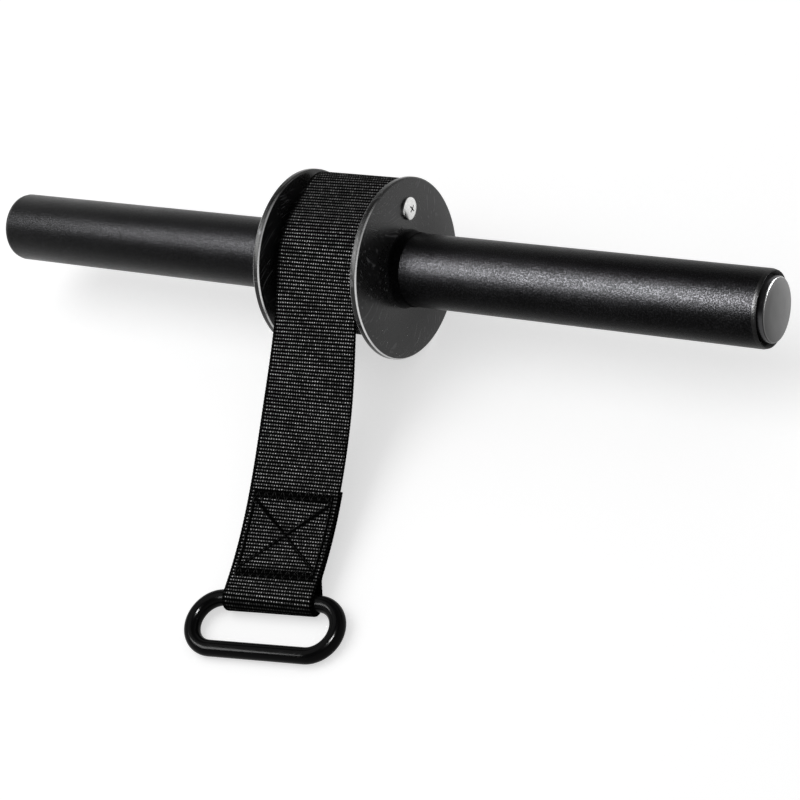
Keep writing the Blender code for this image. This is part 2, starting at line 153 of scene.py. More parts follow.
class WebbingSizes(bpy.types.PropertyGroup):
    """Sizes of the strap and of how it lies."""

    width: size("Width", 0.0515, "Width of the webbing")
    thickness: size("Thickness", 0.0020, "Thickness of the webbing")
    offset: size("Offset", 0.00245, "How far right of the spool's middle the webbing winds")
    layer_gap: size("Layer gap", 0.0005, "Room between neighbouring layers")
    rib_pitch: size("Rib pitch", 0.00188, "From rib to rib along the strap")
    rib_height: size("Rib height", 0.00022, "How far the ribs stand over the valleys")
    yarn_pitch: size("Yarn pitch", 0.00150, "From yarn to yarn across the strap")
    skew_roll: number("Skew on the roll", -0.030, "How far the ribs slant there")
    skew_free: number("Skew below", 0.080, "How far the free strap's ribs slant")
    skew_ring: number("Skew at the ring", 0.030, "How far they slant above the ring")
    roll_radius: size("Roll radius", 0.0388, "Outside of the wound webbing")
    over_anchor: size("Anchor bulge", 0.0158, "Outside radius of the roll where it passes the anchor")
    overlap: size("Inner overlap", 0.014, "How far the outer turn reaches in under itself")
    free_length: size("Free length", 0.190, "From the spool to the ring")
    ring_lap: size("Ring lap", 0.044, "Doubled length behind the ring")
    anchor_lap: size("Anchor lap", 0.012, "Doubled length behind the anchor")
    thread: size("Thread", 0.00062, "Thickness of the sewing thread")
    stitch: size("Stitch length", 0.0030, "Length of one stitch")
    seam_inset: size("Seam inset", 0.0036, "From the strap's edge to the side seams")
    seam_start: size("Seam start", 0.1357, "Distance down the free strap where the sewn box starts")
    seam_end: size("Seam end", 0.1786, "Distance down the free strap where the sewn box ends")
    seam_band: size("Seam band", 0.0050, "Width of the zigzag across each end of the box")
    seam_step: size("Seam step", 0.0023, "From turn to turn of that zigzag")
    inner_turns: IntProperty(
        name="Inner layers", description="Wound layers under the outer turn", default=2, min=1, max=3
    )


class RollerFinish(bpy.types.PropertyGroup):
    """Colours of the finishes."""

    bar: colour("Grip coat", (0.0014, 0.0014, 0.0015), "Textured coat of the bar")
    disc: colour("Disc coat", (0.0060, 0.0060, 0.0062), "Satin coat of the discs")
    # Pale rim colour: real wear and dust specks, and also painted highlight on the tube's end bevels and on
    # the disc rims.
    rim: colour("Rim wear and highlight", (0.110, 0.110, 0.108), "Where the coat has thinned along an edge")
    # Pale bare metal of the disc bevels, kept to their front side: partly bare metal, partly painted
    # highlight.
    bare: colour("Bare edge", (0.85, 0.85, 0.85), "Where an edge shines through the coat")
    steel: colour("Plug steel", (0.060, 0.060, 0.060), "Turned face of the end plugs")
    # Pale edge of the plug's face: a painted highlight.
    plug_rim_highlight: colour("Plug rim", (0.34, 0.34, 0.34), "Bright edge of that face")
    # Also used as painted shade in the screws' cross recess.
    shoulder: colour("Plug shoulder", (0.060, 0.060, 0.062), "Dark step behind the plug's face")
    zinc: colour("Screw zinc", (0.82, 0.82, 0.81), "Bright plate of the screws")
    plain: colour("Plain steel", (0.30, 0.30, 0.31), "Anchor inside the spool")
    # Pale colour of the painted glints on the yarns' crowns.
    yarn: colour("Yarn", (0.17, 0.17, 0.17), "Raised yarns of the webbing")
    # Painted shade in the gaps between the ribs.
    valley: colour("Valley", (0.0005, 0.0005, 0.0005), "Gaps between the ribs")
    thread: colour("Thread", (0.0022, 0.0022, 0.0022), "Sewing thread")
    ring: colour("Ring coat", (0.0030, 0.0030, 0.0032), "Smooth coat of the ring")


class StudioSettings(bpy.types.PropertyGroup):
    """Floor and light."""

    floor: share("Floor tone", 0.66, "How pale the floor is")
    lift: share("Floor lift", 0.565, "White that the floor shows of itself to the eye and in metal")
    ambient: share("Ambient light", 0.47, "Even light from all round")
    ceiling: share("Ceiling", 0.10, "How light the ceiling looks in glossy finishes")
    key: watts("Key light", 6.5, "Large soft box that lights the whole object")
    key_size: size("Key size", 1.10, "Side of the large soft box")
    right_box: watts("Right box", 172.0, "Box overhead that shows in the right grip")
    left_box: watts("Left box", 52.0, "Box overhead that shows in the left grip")
    disc_box: watts("Disc box", 16.0, "Box in front that shows in the discs")
    front_box: watts("Front box", 40.0, "Box in front that shows in the webbing")
    ring_box: watts("Ring box", 26.0, "Box in front that shows in the ring")
    ring_lamp: watts("Ring lamp", 60.0, "Small lamp overhead that glints in the ring's bends")
    side_card: watts("Side card", 130.0, "Low card on the right that shows in the end plug")


# Modelling by hand

def begin(add, **settings):
    """Adds a primitive with nothing else selected, and opens it for editing."""
    if bpy.context.mode != "OBJECT":
        bpy.ops.object.mode_set(mode="OBJECT")
    bpy.ops.object.select_all(action="DESELECT")
    add(**settings)
    bpy.ops.object.mode_set(mode="EDIT")
    return bpy.context.object


def select_only(piece):
    """Leaves edit mode with this piece as the selected one."""
    if bpy.context.mode != "OBJECT":
        bpy.ops.object.mode_set(mode="OBJECT")
    bpy.ops.object.select_all(action="DESELECT")
    piece.select_set(True)
    bpy.context.view_layer.objects.active = piece


def pick(piece, kind, wanted):
    """Selects the vertices or faces for which wanted holds, in edit mode."""
    bpy.ops.object.mode_set(mode="OBJECT")
    mesh = piece.data
    for items in (mesh.vertices, mesh.edges, mesh.polygons):
        items.foreach_set("select", np.zeros(len(items), bool))
    for item in getattr(mesh, kind):
        item.select = wanted(item)
    bpy.ops.object.mode_set(mode="EDIT")
    bpy.ops.mesh.select_mode(type={"vertices": "VERT", "polygons": "FACE"}[kind])


def close_up():
    """Merges doubles and points every face outwards."""
    bpy.ops.mesh.select_all(action="SELECT")
    bpy.ops.mesh.remove_doubles(threshold=1e-6)
    bpy.ops.mesh.normals_make_consistent(inside=False)


def apply_modifier(piece, kind, **settings):
    """Adds a modifier with its settings, and applies it."""
    bpy.ops.object.mode_set(mode="OBJECT")
    bpy.context.view_layer.objects.active = piece
    added = piece.modifiers.new(kind.title(), kind)
    for key, value in settings.items():
        setattr(added, key, value)
    bpy.ops.object.modifier_apply(modifier=added.name)


def round_edges(piece, width, segments, sharper):
    """Bevels the edges that turn by more than that angle."""
    apply_modifier(piece, "BEVEL", width=width, segments=segments, angle_limit=math.radians(sharper))


def cut(piece, cutter):
    """Takes the cutter's shape out of the piece, and throws the cutter away."""
    apply_modifier(piece, "BOOLEAN", operation="DIFFERENCE", solver="EXACT", object=cutter)
    bpy.data.objects.remove(cutter)


def complete(piece, name, body, slot, surface, nodes=(), smooth=32.0):
    """Names a finished piece, puts its place in its mesh, dresses it and hangs it on its body."""
    select_only(piece)
    bpy.ops.object.transform_apply(location=True, rotation=True, scale=True)
    bpy.ops.object.shade_smooth_by_angle(angle=math.radians(smooth))
    piece.name = piece.data.name = name
    piece.data.materials.clear()
    piece.data.materials.append(surface)
    piece["smooth"] = smooth
    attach(piece, body)
    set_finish(piece, slot)
    if nodes:
        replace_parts(piece, *nodes)
    piece.select_set(False)


def mirrored(piece, name, *nodes):
    """Makes a right-hand piece again for the left, with a mesh of its own."""
    twin = piece.copy()
    twin.data = piece.data.copy()
    twin.parent = None
    twin.matrix_world = Matrix.Scale(-1, 4, Vector((1, 0, 0)))
    bpy.context.scene.collection.objects.link(twin)
    select_only(twin)
    bpy.ops.object.transform_apply(location=True, rotation=True, scale=True)
    bpy.ops.object.mode_set(mode="EDIT")
    bpy.ops.mesh.select_all(action="SELECT")
    bpy.ops.mesh.normals_make_consistent(inside=False)
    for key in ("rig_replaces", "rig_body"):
        if key in twin:
            del twin[key]
    surface = piece.data.materials[0]
    complete(twin, name, piece["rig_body"], piece["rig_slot"], surface, nodes, piece["smooth"])


def lathe(profile, sides, middle=AXIS):
    """Turns a closed outline of (x, radius) points round a line along X, as on a lathe."""
    x, radius = profile[0]
    at = Vector((middle.x + x, middle.y, middle.z + radius))
    piece = begin(bpy.ops.mesh.primitive_plane_add, size=0.001, location=(0, 0, 0))
    bpy.ops.mesh.merge(type="CENTER")
    bpy.ops.transform.translate(value=at)
    for next_x, next_radius in [*profile[1:], profile[0]]:
        step = Vector((next_x - x, 0, next_radius - radius))
        bpy.ops.mesh.extrude_vertices_move(TRANSFORM_OT_translate={"value": step})
        x, radius = next_x, next_radius
    close_up()
    bpy.ops.mesh.spin(steps=sides, angle=math.tau, center=middle, axis=(1, 0, 0))
    close_up()
    bpy.ops.mesh.select_all(action="DESELECT")
    bpy.ops.mesh.select_loose()
    bpy.ops.mesh.delete(type="EDGE")
    return piece


def both_ends(profile):
    """Adds the left half to the right half of an outline."""
    return profile + [(-x, radius) for x, radius in profile[::-1]]


def spoke(angle):
    """Unit vector out from the bar's axis."""
    return Vector((0, -math.cos(math.radians(angle)), math.sin(math.radians(angle))))


def tangent(angle):
    """Unit vector round the bar, the way the angle grows."""
    return Vector((0, math.sin(math.radians(angle)), math.cos(math.radians(angle))))


# The strap's own lines. They follow the solids of the frame, with finer steps.

ANCHOR_ANGLE = 132.0
LEAVES_AT = 71.0
ANCHOR_WRAP = 285.0
EYE_SLANT = 42.0
EYE_STEPS, EYE_RUN_STEPS, EYE_EASE_STEPS, EYE_LAP_STEPS = 74, 24, 16, 80
LIE_SHARES = (0.0, 0.10, 0.245, 0.49, 0.73, 1.0)
LIE_SLOPES = (37.8, 23.2, 12.8)
LIE_TURNS = (0.0, -0.7, 3.0, 9.2, 10.9, 8.1)
LIE_LEANS = (0.0, 0.0, -2.0, 2.8, 2.3, 0.0)
ROLL_FOLLOW = 0.83
END_SLOPE = 2.0
STEEPEST = 1.8
HALVINGS = 30
FREE_STEPS = 480
ROLL_STEPS = 900
INNER_STEPS = 500
LAYER_STEPS = 360
SKEW_PLACES = (0.038, 0.088, 0.148, 0.172)


def anchor_axis(hard):
    """Where the anchor's own axis crosses the middle of the spool."""
    return AXIS + spoke(ANCHOR_ANGLE) * hard.anchor_radius


def strap_middle(web):
    return AXIS + Vector((web.offset, 0, 0))


def eye_radius(web, hard, bar):
    """From the middle of a bar to the middle of the webbing that lies round it."""
    return bar / 2 + hard.seat_gap + web.thickness / 2


def roll_legs(web, hard):
    """The outer turn's middle line, as arcs each with a straight run after it."""
    base, over = web.roll_radius - web.thickness / 2, web.over_anchor - web.thickness / 2
    lean = math.degrees(math.acos((base - over) / hard.anchor_radius))
    first, last = ANCHOR_ANGLE - lean, ANCHOR_ANGLE + lean
    run = math.sqrt(hard.anchor_radius**2 - (base - over) ** 2)
    return (
        (Vector(), base, LEAVES_AT, first, run),
        (spoke(ANCHOR_ANGLE) * hard.anchor_radius, over, first, last, run),
        (Vector(), base, last, LEAVES_AT + 360, 0.0),
    )


def turn_length(web, hard):
    return sum(r * math.radians(b - a) + run for _, r, a, b, run in roll_legs(web, hard))


def leg_at(web, hard, distance):
    """Which leg that distance round the turn is on, and how far along its arc and its run."""
    left = distance % turn_length(web, hard)
    for k, (_, radius, first, last, run) in enumerate(roll_legs(web, hard)):
        arc = radius * math.radians(last - first)
        if left <= arc:
            return k, left, 0.0
        left -= arc
        if left <= run:
            return k, arc, left
        left -= run
    return k, arc, run


def roll_at(web, hard, distance, depth=0.0):
    """Point on the spiral that far in from where the strap leaves, and that deep under its middle."""
    k, along, past = leg_at(web, hard, distance)
    centre, radius, first, _, _ = roll_legs(web, hard)[k]
    angle = first + math.degrees(along / radius)
    sunk = depth + (web.thickness + web.layer_gap) * distance / turn_length(web, hard)
    return centre + spoke(angle) * (radius - sunk) + tangent(angle) * past


def smooth_value(values, at):
    """Reads a smooth curve through the values, by cubic pieces with matched slopes."""
    last = len(LIE_SHARES) - 1
    k = max(i for i in range(last) if LIE_SHARES[i] <= at)
    slopes = []
    for i in (k, k + 1):
        low, high = max(i - 1, 0), min(i + 1, last)
        slopes.append((values[high] - values[low]) / (LIE_SHARES[high] - LIE_SHARES[low]))
    width = LIE_SHARES[k + 1] - LIE_SHARES[k]
    u = (at - LIE_SHARES[k]) / width
    ends = u * (1 - u) ** 2 * slopes[0] * width + u * u * (u - 1) * slopes[1] * width
    return values[k] + (values[k + 1] - values[k]) * u * u * (3 - 2 * u) + ends


def free_ways(web, steepness):
    """Unit vectors along the free strap, one for each short step."""
    leaving = 90 - LEAVES_AT
    off_roll = leaving + ROLL_FOLLOW * math.degrees(LIE_SHARES[1] * web.free_length / web.roll_radius)
    slopes = [leaving, off_roll, *(steepness * slope for slope in LIE_SLOPES), END_SLOPE]
    found = []
    for i in range(FREE_STEPS):
        at = (i + 0.5) / FREE_STEPS
        slope = math.radians(smooth_value(slopes, at))
        turn = math.radians(smooth_value(LIE_TURNS, at))
        flat = math.cos(slope)
        found.append(Vector((math.sin(turn) * flat, -math.cos(turn) * flat, -math.sin(slope))))
    return found


def free_line(web, hard):
    """The free strap's middle line from the spool to the top of its eye, about the bar's axis.

    Its slopes are made steeper or flatter, by halving the choice, until the ring meets the floor.
    """
    start = roll_at(web, hard, 0)
    eye = eye_radius(web, hard, hard.ring_bar)
    top = eye + web.thickness / 2 + eye * math.cos(math.radians(END_SLOPE))
    wanted = start.z + AXIS.z - top
    step = web.free_length / FREE_STEPS
    flat, steep = 0.0, STEEPEST
    for _ in range(HALVINGS):
        steepness = (flat + steep) / 2
        dropped = -step * sum(way.z for way in free_ways(web, steepness))
        flat, steep = (steepness, steep) if dropped < wanted else (flat, steepness)
    line = [start]
    for way in free_ways(web, steepness):
        line.append(line[-1] + way * step)
    return line


def eye_path(web, radius, lap):
    """A sewn eye in the webbing's own plane: (ahead, down) from its first touch to the lap's end."""
    slant, ease, drop = math.radians(EYE_SLANT), 3 * web.thickness, web.thickness + web.layer_gap
    rise, level = math.sin(slant), math.cos(slant)
    slanted = (radius * (1 + level) - drop - ease * (1 - level)) / rise
    around = [(math.pi + slant) * i / EYE_STEPS for i in range(1, EYE_STEPS + 1)]
    points = [(radius * math.sin(a), radius * (1 - math.cos(a))) for a in around]
    ahead, down = points[-1]
    runs = [slanted * i / EYE_RUN_STEPS for i in range(1, EYE_RUN_STEPS)]
    points += [(ahead - level * run, down - rise * run) for run in runs]
    ahead -= slanted * level
    for i in range(EYE_EASE_STEPS + 1):
        a = slant * (1 - i / EYE_EASE_STEPS)
        points.append((ahead - ease * (rise - math.sin(a)), drop + ease * (1 - math.cos(a))))
    end = points[-1][0]
    return points + [(end - lap * i / EYE_LAP_STEPS, drop) for i in range(1, EYE_LAP_STEPS + 1)]


def upward(way, side):
    """Unit vector square to a line and the way across it."""
    return way.cross(side).normalized()


def strap_side(way, at):
    """Unit vector across the free strap at a share of its length, leaning as it leans there."""
    level = Vector((-way.y, way.x, 0)).normalized()
    lean = math.radians(smooth_value(LIE_LEANS, at))
    return level * math.cos(lean) - upward(way, level) * math.sin(lean)


def stations(points, sides, pitch):
    """Even stations along a line: arrays of places, ways across and ways out, and the distances."""

    def unit(ways):
        return ways / np.linalg.norm(ways, axis=1)[:, None]

    points, sides = np.array(points, float), np.array(sides, float)
    along = np.concatenate([[0], np.cumsum(np.linalg.norm(np.diff(points, axis=0), axis=1))])
    at = np.linspace(0, along[-1], int(round(along[-1] / pitch)) + 1)
    place, side = (np.stack([np.interp(at, along, v) for v in ways.T], 1) for ways in (points, sides))
    way = np.gradient(place, axis=0)
    soft = np.array([1, 2, 3, 2, 1]) / 9
    way = np.stack([np.convolve(np.pad(v, 2, "edge"), soft, "valid") for v in way.T], 1)
    out = unit(np.cross(way, side))
    return place, unit(np.cross(out, way)), out, at


def webbing_section(web, columns):
    """Outline of the webbing from its right edge over the top to the left and back below.

    Each point is (across, share of half the thickness, how much of the ribs it takes).
    """
    w = web.width / 2
    edge = [(w, 0.0, 0.0), (w - 0.00006, 0.42, 0.1), (w - 0.00025, 0.78, 0.3), (w - 0.0006, 0.96, 0.7)]
    flat = [((w - 0.0012) * (1 - 2 * i / columns), 1.0, 1.0) for i in range(columns + 1)]
    top = edge + flat + [(-a, b, c) for a, b, c in edge[::-1]]
    return top + [(-a, -b, c) for a, b, c in top[1:-1]] + [top[0]]


def ribbon(web, lines, columns=10, thick=1.0, skew=0.0):
    """Webbing along its stations: a grid rolled into a flat tube, with its ribs in the mesh.

    The skew is how far each rib runs down the strap for each metre that it goes to the right.
    """
    *frames, at = lines
    section = webbing_section(web, columns)
    piece = begin(
        bpy.ops.mesh.primitive_grid_add, x_subdivisions=len(section) - 1,
        y_subdivisions=len(at) - 1, size=1.0, location=(0, 0, 0),
    )
    bpy.ops.object.mode_set(mode="OBJECT")
    a, b, ribbed = (np.array(v) for v in zip(*section))
    ribs = web.rib_height * ribbed[None, :]
    crest = 0.5 + 0.5 * np.cos(math.tau * at / web.rib_pitch)[:, None]
    half = (web.thickness / 2) * np.broadcast_to(thick, at.shape)
    height = b[None, :] * (half[:, None] - ribs + ribs * crest**0.8)
    pinched = 0.004 * (np.abs(a) > web.width / 2 - 0.0003)[None, :]
    wide = a[None, :] * (1 - pinched * (1 - crest))
    fade = np.clip(np.minimum(at, at[-1] - at) / 0.006, 0, 1)
    slid = at[:, None] + (skew * fade)[:, None] * a[None, :]
    place, across, out = (np.stack([np.interp(slid, at, v) for v in ways.T], -1) for ways in frames)
    spots = place + across * wide[..., None] + out * height[..., None]
    piece.data.vertices.foreach_set("co", spots.reshape(-1).astype(np.float32))
    girth = np.concatenate([[0], np.cumsum(np.hypot(np.diff(a), np.diff(b) * web.thickness / 2))])
    corner = np.zeros(len(piece.data.loops), np.int32)
    piece.data.loops.foreach_get("vertex_index", corner)
    row, column = corner // len(section), corner % len(section)
    chart = piece.data.uv_layers.active
    chart.name = "Webbing"
    chart.data.foreach_set("uv", np.stack([(web.width / 2 - girth)[column], at[row]], 1).reshape(-1))
    piece.data.update()
    bpy.ops.object.mode_set(mode="EDIT")
    close_up()
    bpy.ops.mesh.select_all(action="DESELECT")
    bpy.ops.mesh.select_mode(type="EDGE")
    bpy.ops.mesh.select_non_manifold()
    bpy.ops.mesh.fill()
    bpy.ops.object.mode_set(mode="OBJECT")
    return piece


def strap_lines(web, hard):
    """Places and sides of the whole strap, from under itself round the roll and down to its eye.

    The last value is the length that is wound before the strap leaves the roll.
    """
    inner = turn_length(web, hard) + web.overlap - hard.seat_gap
    points = [roll_at(web, hard, inner * (1 - i / ROLL_STEPS)) for i in range(ROLL_STEPS + 1)]
    sides = [Vector((1, 0, 0))] * len(points)
    wound = sum((b - a).length for a, b in zip(points, points[1:]))
    line = free_line(web, hard)
    ways = [(b - a).normalized() for a, b in zip(line, line[1:])]
    level = [strap_side(way, (k + 0.5) / FREE_STEPS) for k, way in enumerate(ways)]
    points += line[1:]
    sides += level
    for ahead, down in eye_path(web, eye_radius(web, hard, hard.ring_bar), web.ring_lap):
        back = -min(ahead, 0) * FREE_STEPS / web.free_length
        k = FREE_STEPS - 1 - int(back)
        here = line[k + 1].lerp(line[k], back - int(back))
        points.append(here + ways[k] * max(ahead, 0) - upward(ways[k], level[k]) * down)
        sides.append(level[k])
    return [p + strap_middle(web) for p in points], sides, wound


# Node groups and materials

class Outlet:
    """A node's outlet that takes plain arithmetic: each sign adds one Math node."""

    def __init__(self, board, socket):
        self.board, self.socket = board, socket

    def __add__(self, other):
        return self.board.math("ADD", self, other)

    def __sub__(self, other):
        return self.board.math("SUBTRACT", self, other)

    def __rsub__(self, other):
        return self.board.math("SUBTRACT", other, self)

    def __mul__(self, other):
        return self.board.math("MULTIPLY", self, other)

    def __truediv__(self, other):
        return self.board.math("DIVIDE", self, other)

    def __rtruediv__(self, other):
        return self.board.math("DIVIDE", other, self)

    def __pow__(self, other):
        return self.board.math("POWER", self, other)

    def __abs__(self):
        return self.board.math("ABSOLUTE", self)

    __radd__, __rmul__ = __add__, __mul__


class Board:
    """A node tree with short calls to add and join its nodes."""

    def __init__(self, tree):
        self.tree = tree

    def feed(self, socket, value):
        if isinstance(value, Outlet):
            self.tree.links.new(value.socket, socket)
        else:
            socket.default_value = value

    def node(self, kind, inputs=None, **settings):
        """Adds a node, and gives its outlets by number and by name."""
        made = self.tree.nodes.new("ShaderNode" + kind)
        made.location = (190 * (len(self.tree.nodes) % 12), -260 * (len(self.tree.nodes) // 12))
        for key, value in settings.items():
            setattr(made, key, value)
        for key, value in (inputs or {}).items():
            self.feed(made.inputs[key], value)
        outlets = [Outlet(self, socket) for socket in made.outputs]
        return {**dict(enumerate(outlets)), **{outlet.socket.name: outlet for outlet in outlets}}

    def math(self, operation, *values):
        return self.node("Math", dict(enumerate(values)), operation=operation)[0]

    def vector(self, operation, *values, outlet=0):
        return self.node("VectorMath", dict(enumerate(values)), operation=operation)[outlet]

    def split(self, vector):
        parts = self.node("SeparateXYZ", {0: vector})
        return parts[0], parts[1], parts[2]

    def ramp(self, value, low, high, bottom=0.0, top=1.0):
        """Smooth step of a value between low and high."""
        inputs = {"Value": value, "From Min": low, "From Max": high, "To Min": bottom, "To Max": top}
        return self.node("MapRange", inputs, interpolation_type="SMOOTHSTEP")[0]

    def mix(self, factor, a, b, blend="MIX"):
        """Mixes two colours, each an outlet or three plain values."""
        a, b = (value if isinstance(value, Outlet) else (*value, 1.0) for value in (a, b))
        return self.node("Mix", {0: factor, 6: a, 7: b}, data_type="RGBA", blend_type=blend)[2]

    def noise(self, vector, scale, detail=2.0, rough=0.5, outlet="Fac"):
        inputs = {"Vector": vector, "Scale": scale, "Detail": detail, "Roughness": rough}
        return self.node("TexNoise", inputs)[outlet]

    def stretched(self, vector, scale):
        return self.node("Mapping", {"Vector": vector, "Scale": scale})[0]

    def surface(self, tone, rough, height, strength, distance, metallic=None):
        """Feeds the varying colour, roughness, bump and metal of a finish."""
        bump = self.node("Bump", {"Height": height, "Strength": strength, "Distance": distance})[0]
        varying = {"Base Color": tone, "Roughness": rough, "Normal": bump, "Metallic": metallic}
        for key, value in varying.items():
            if value is not None:
                self.feed(self.tree.nodes["Principled BSDF"].inputs[key], value)


def group(name, outlets, **inlets):
    """Marks a function as the layout of a node group, which is built once.

    The layout gets a board and the inlets, and returns what goes to the outlets. Calling the
    marked function places the group on a board with values of its own. An inlet whose default
    is None is a vector, and the others are numbers.
    """

    def build(lay_out):
        tree = bpy.data.node_groups.new(name, "ShaderNodeTree")
        for label, default in inlets.items():
            kind = "NodeSocketVector" if default is None else "NodeSocketFloat"
            socket = tree.interface.new_socket(name=label, in_out="INPUT", socket_type=kind)
            if default is not None:
                socket.default_value = default
        for label in outlets:
            tree.interface.new_socket(name=label, in_out="OUTPUT", socket_type="NodeSocketFloat")
        board = Board(tree)
        source, target = tree.nodes.new("NodeGroupInput"), tree.nodes.new("NodeGroupOutput")
        target.location = (2400, 0)
        results = lay_out(board, *(Outlet(board, source.outputs[label]) for label in inlets))
        for label, value in zip(outlets, results):
            board.feed(target.inputs[label], value)
        return tree

    def mark(lay_out):
        def place(board, **values):
            tree = bpy.data.node_groups.get(name) or build(lay_out)
            return board.node("Group", values, node_tree=tree)

        return place

    return mark


@group("Round the axis", ["Radius", "Along"], Vector=None)
def round_the_axis(b, vector):
    """Where a point lies about the bar's axis: its radius, and its place along."""
    x, y, z = b.split(b.vector("SUBTRACT", vector, AXIS))
    return b.math("SQRT", y * y + z * z), abs(x)


@group("Coat grain", ["Height", "Fleck"], Vector=None, Grain=0.001)
def coat_grain(b, vector, grain):
    """Grain of a baked coat: a pebbled height, and pale flecks where the coat catches light."""
    scale = 1.0 / grain
    coarse = b.noise(vector, scale, 3.0, 0.62)
    cells = b.node("TexVoronoi", {"Vector": vector, "Scale": scale * 1.3})
    fine = b.noise(vector, scale * 2.3, 2.0, 0.6)
    height = coarse * 0.7 + cells["Distance"] ** 0.6 * 0.18
    return height, b.ramp(coarse * 0.75 + fine * 0.25, 0.45, 0.66)


@group("Edge wear", ["Mask"], Vector=None, Value=0.0, Start=0.0, Full=1.0, Breakup=1.0)
def edge_wear_and_highlight(b, vector, value, start, full, breakup):
    """Wear, and painted highlight, along an edge: a broken mask between two values, such as two radii near a
    rim.
    """
    broken = b.noise(vector, 210.0, 4.0, 0.65) * 0.7 + b.noise(vector, 1500.0, 2.0, 0.6) * 0.5
    return [b.ramp(value, start, full) * broken**breakup]


@group("Turned lines", ["Height", "Tone"], Radius=0.0, Pitch=0.0001)
def turned_lines(b, radius, pitch):
    """Fine rings that a turning tool leaves, from the radius."""
    count = radius / pitch
    fine, wide = (
        b.node("TexNoise", {"W": w, "Scale": 1.0, "Detail": 2.0}, noise_dimensions="1D")["Fac"]
        for w in (count, count * 0.13)
    )
    return fine * 0.7 + wide, fine


@group("Dust and hairlines", ["Specks", "Hair"], Vector=None)
def dust_and_hairlines(b, vector):
    """Sparse pale specks and short hairline scratches."""
    cells = b.node("TexVoronoi", {"Vector": vector, "Scale": 420.0})
    dots = b.ramp(cells["Distance"], 0.16, 0.05)
    specks = dots * b.ramp(b.split(cells["Color"])[0], 0.86, 0.98)
    swirl = b.noise(vector, 16.0, 1.0, 0.5, "Color")
    drift = b.node("VectorMath", {0: swirl, "Scale": 0.05}, operation="SCALE")[0]
    bent = b.vector("MULTIPLY_ADD", vector, swirl, drift)
    lines = b.noise(b.stretched(bent, (900.0, 60.0, 900.0)), 1.0, 0.0, 0.0)
    return specks, b.ramp(lines, 0.64, 0.76)


@group("Ribbed weave", ["Height", "Glint"], Vector=None, Rib=0.00185, Yarn=0.00118)
def ribbed_weave(b, vector, rib, yarn):
    """Ribbed webbing in metres across and along: its height, and how brightly its yarns glint, a mask for
    painted glints.
    """
    shaken = b.vector("SUBTRACT", b.noise(vector, 330.0, 2.0, 0.6, "Color"), (0.5, 0.5, 0.5))
    across, along, _ = b.split(b.vector("MULTIPLY_ADD", shaken, (0.0004, 0.00030, 0.0), vector))
    ribs = along / rib + 0.5
    row = b.math("FLOOR", ribs)
    shift = b.node("TexWhiteNoise", {"W": row}, noise_dimensions="1D")["Value"]
    yarns = across / yarn + shift * 0.6
    key = b.node("CombineXYZ", {"X": b.math("FLOOR", yarns), "Y": row})[0]
    tone = b.node("TexWhiteNoise", {"Vector": key}, noise_dimensions="2D")["Value"]
    over, beside = (b.math("SINE", b.math("FRACT", count) * math.pi) for count in (ribs, yarns))
    lifted = over**1.6 * beside**0.8 * (0.78 + tone * 0.22)
    fibres = b.noise(b.stretched(vector, (9000.0, 1300.0, 1.0)), 1.0, 1.0, 0.5)
    # Painted glints: bright dots on the crowns of the yarns, strongest on the middle of each rib.
    dot = beside**2.0 * (0.34 + tone * 0.62)
    return lifted + fibres * 0.10, over**4.4 * (0.10 + dot * 0.90)


@group("Sewn box", ["Mask"], Vector=None, Start=0.0, End=1.0, Half=0.02, Band=0.002)
def sewn_box(b, vector, start, end, half, band):
    """Where seams press the webbing flat: a band across each end of a box, its sides and cross."""
    across, along, _ = b.split(vector)
    across = abs(across)
    from_middle = abs(along - (start + end) * 0.5)
    tall = (end - start) * 0.5 - band
    reach = tall + band
    bands = b.ramp(abs(from_middle - reach), band * 1.15, band * 0.85)
    sides = b.ramp(abs(across - half), 0.0013, 0.0006)
    lean = (across * tall - from_middle * half) / b.math("SQRT", tall * tall + half * half)
    cross = b.ramp(abs(lean), 0.0013, 0.0006)
    lines = b.math("MAXIMUM", sides, cross) * b.math("LESS_THAN", from_middle, reach)
    within = b.ramp(across, half + 0.0012, half + 0.0004)
    return [b.math("MAXIMUM", bands, lines) * within]


def finish(name, metallic=0.0, specular=0.5):
    """Marks a function as the layout of a material, which is built at its first call.

    The layout gets a board, the point on the piece, the colours and the sizes.
    """

    def mark(lay_out):
        def find():
            made = bpy.data.materials.get(name)
            if made is None:
                made = bpy.data.materials.new(name)
                made.use_nodes = True
                shader = made.node_tree.nodes["Principled BSDF"]
                shader.inputs["Metallic"].default_value = metallic
                shader.inputs["Specular IOR Level"].default_value = specular
                board, scene = Board(made.node_tree), bpy.context.scene
                here = board.node("TexCoord")["Object"]
                lay_out(board, here, scene.roller_finish, scene.roller_sizes)
            return made

        return find

    return mark


@finish("bar_texture_coat", metallic=0.6, specular=0.020)
def bar_coat(b, here, colours, hard):
    """Fine textured black coat of the grips, with a painted highlight along the tube's end bevels."""
    grain = coat_grain(b, Vector=here, Grain=0.00070)
    along = round_the_axis(b, Vector=here)["Along"]
    bevel = hard.tube_length / 2 - hard.tube_edge_run
    # Painted highlight: a broken mask over the bevel at each end of the tube, mixed towards the pale rim
    # colour.
    rim_wear_and_highlight = edge_wear_and_highlight(b, Vector=here, Value=along, Start=bevel, Full=bevel + 0.0002, Breakup=0.6)
    tone = b.mix(grain["Fleck"] * 0.9, colours.bar, colours.bar * 9.0)
    tone = b.mix(rim_wear_and_highlight["Mask"] * 0.12, tone, colours.rim)
    rough = b.ramp(b.noise(here, 38.0, 3.0, 0.6), 0.3, 0.7, 0.34, 0.40) + grain["Fleck"] * -0.06
    b.surface(tone, rough, grain["Height"], 0.6, 0.00030)


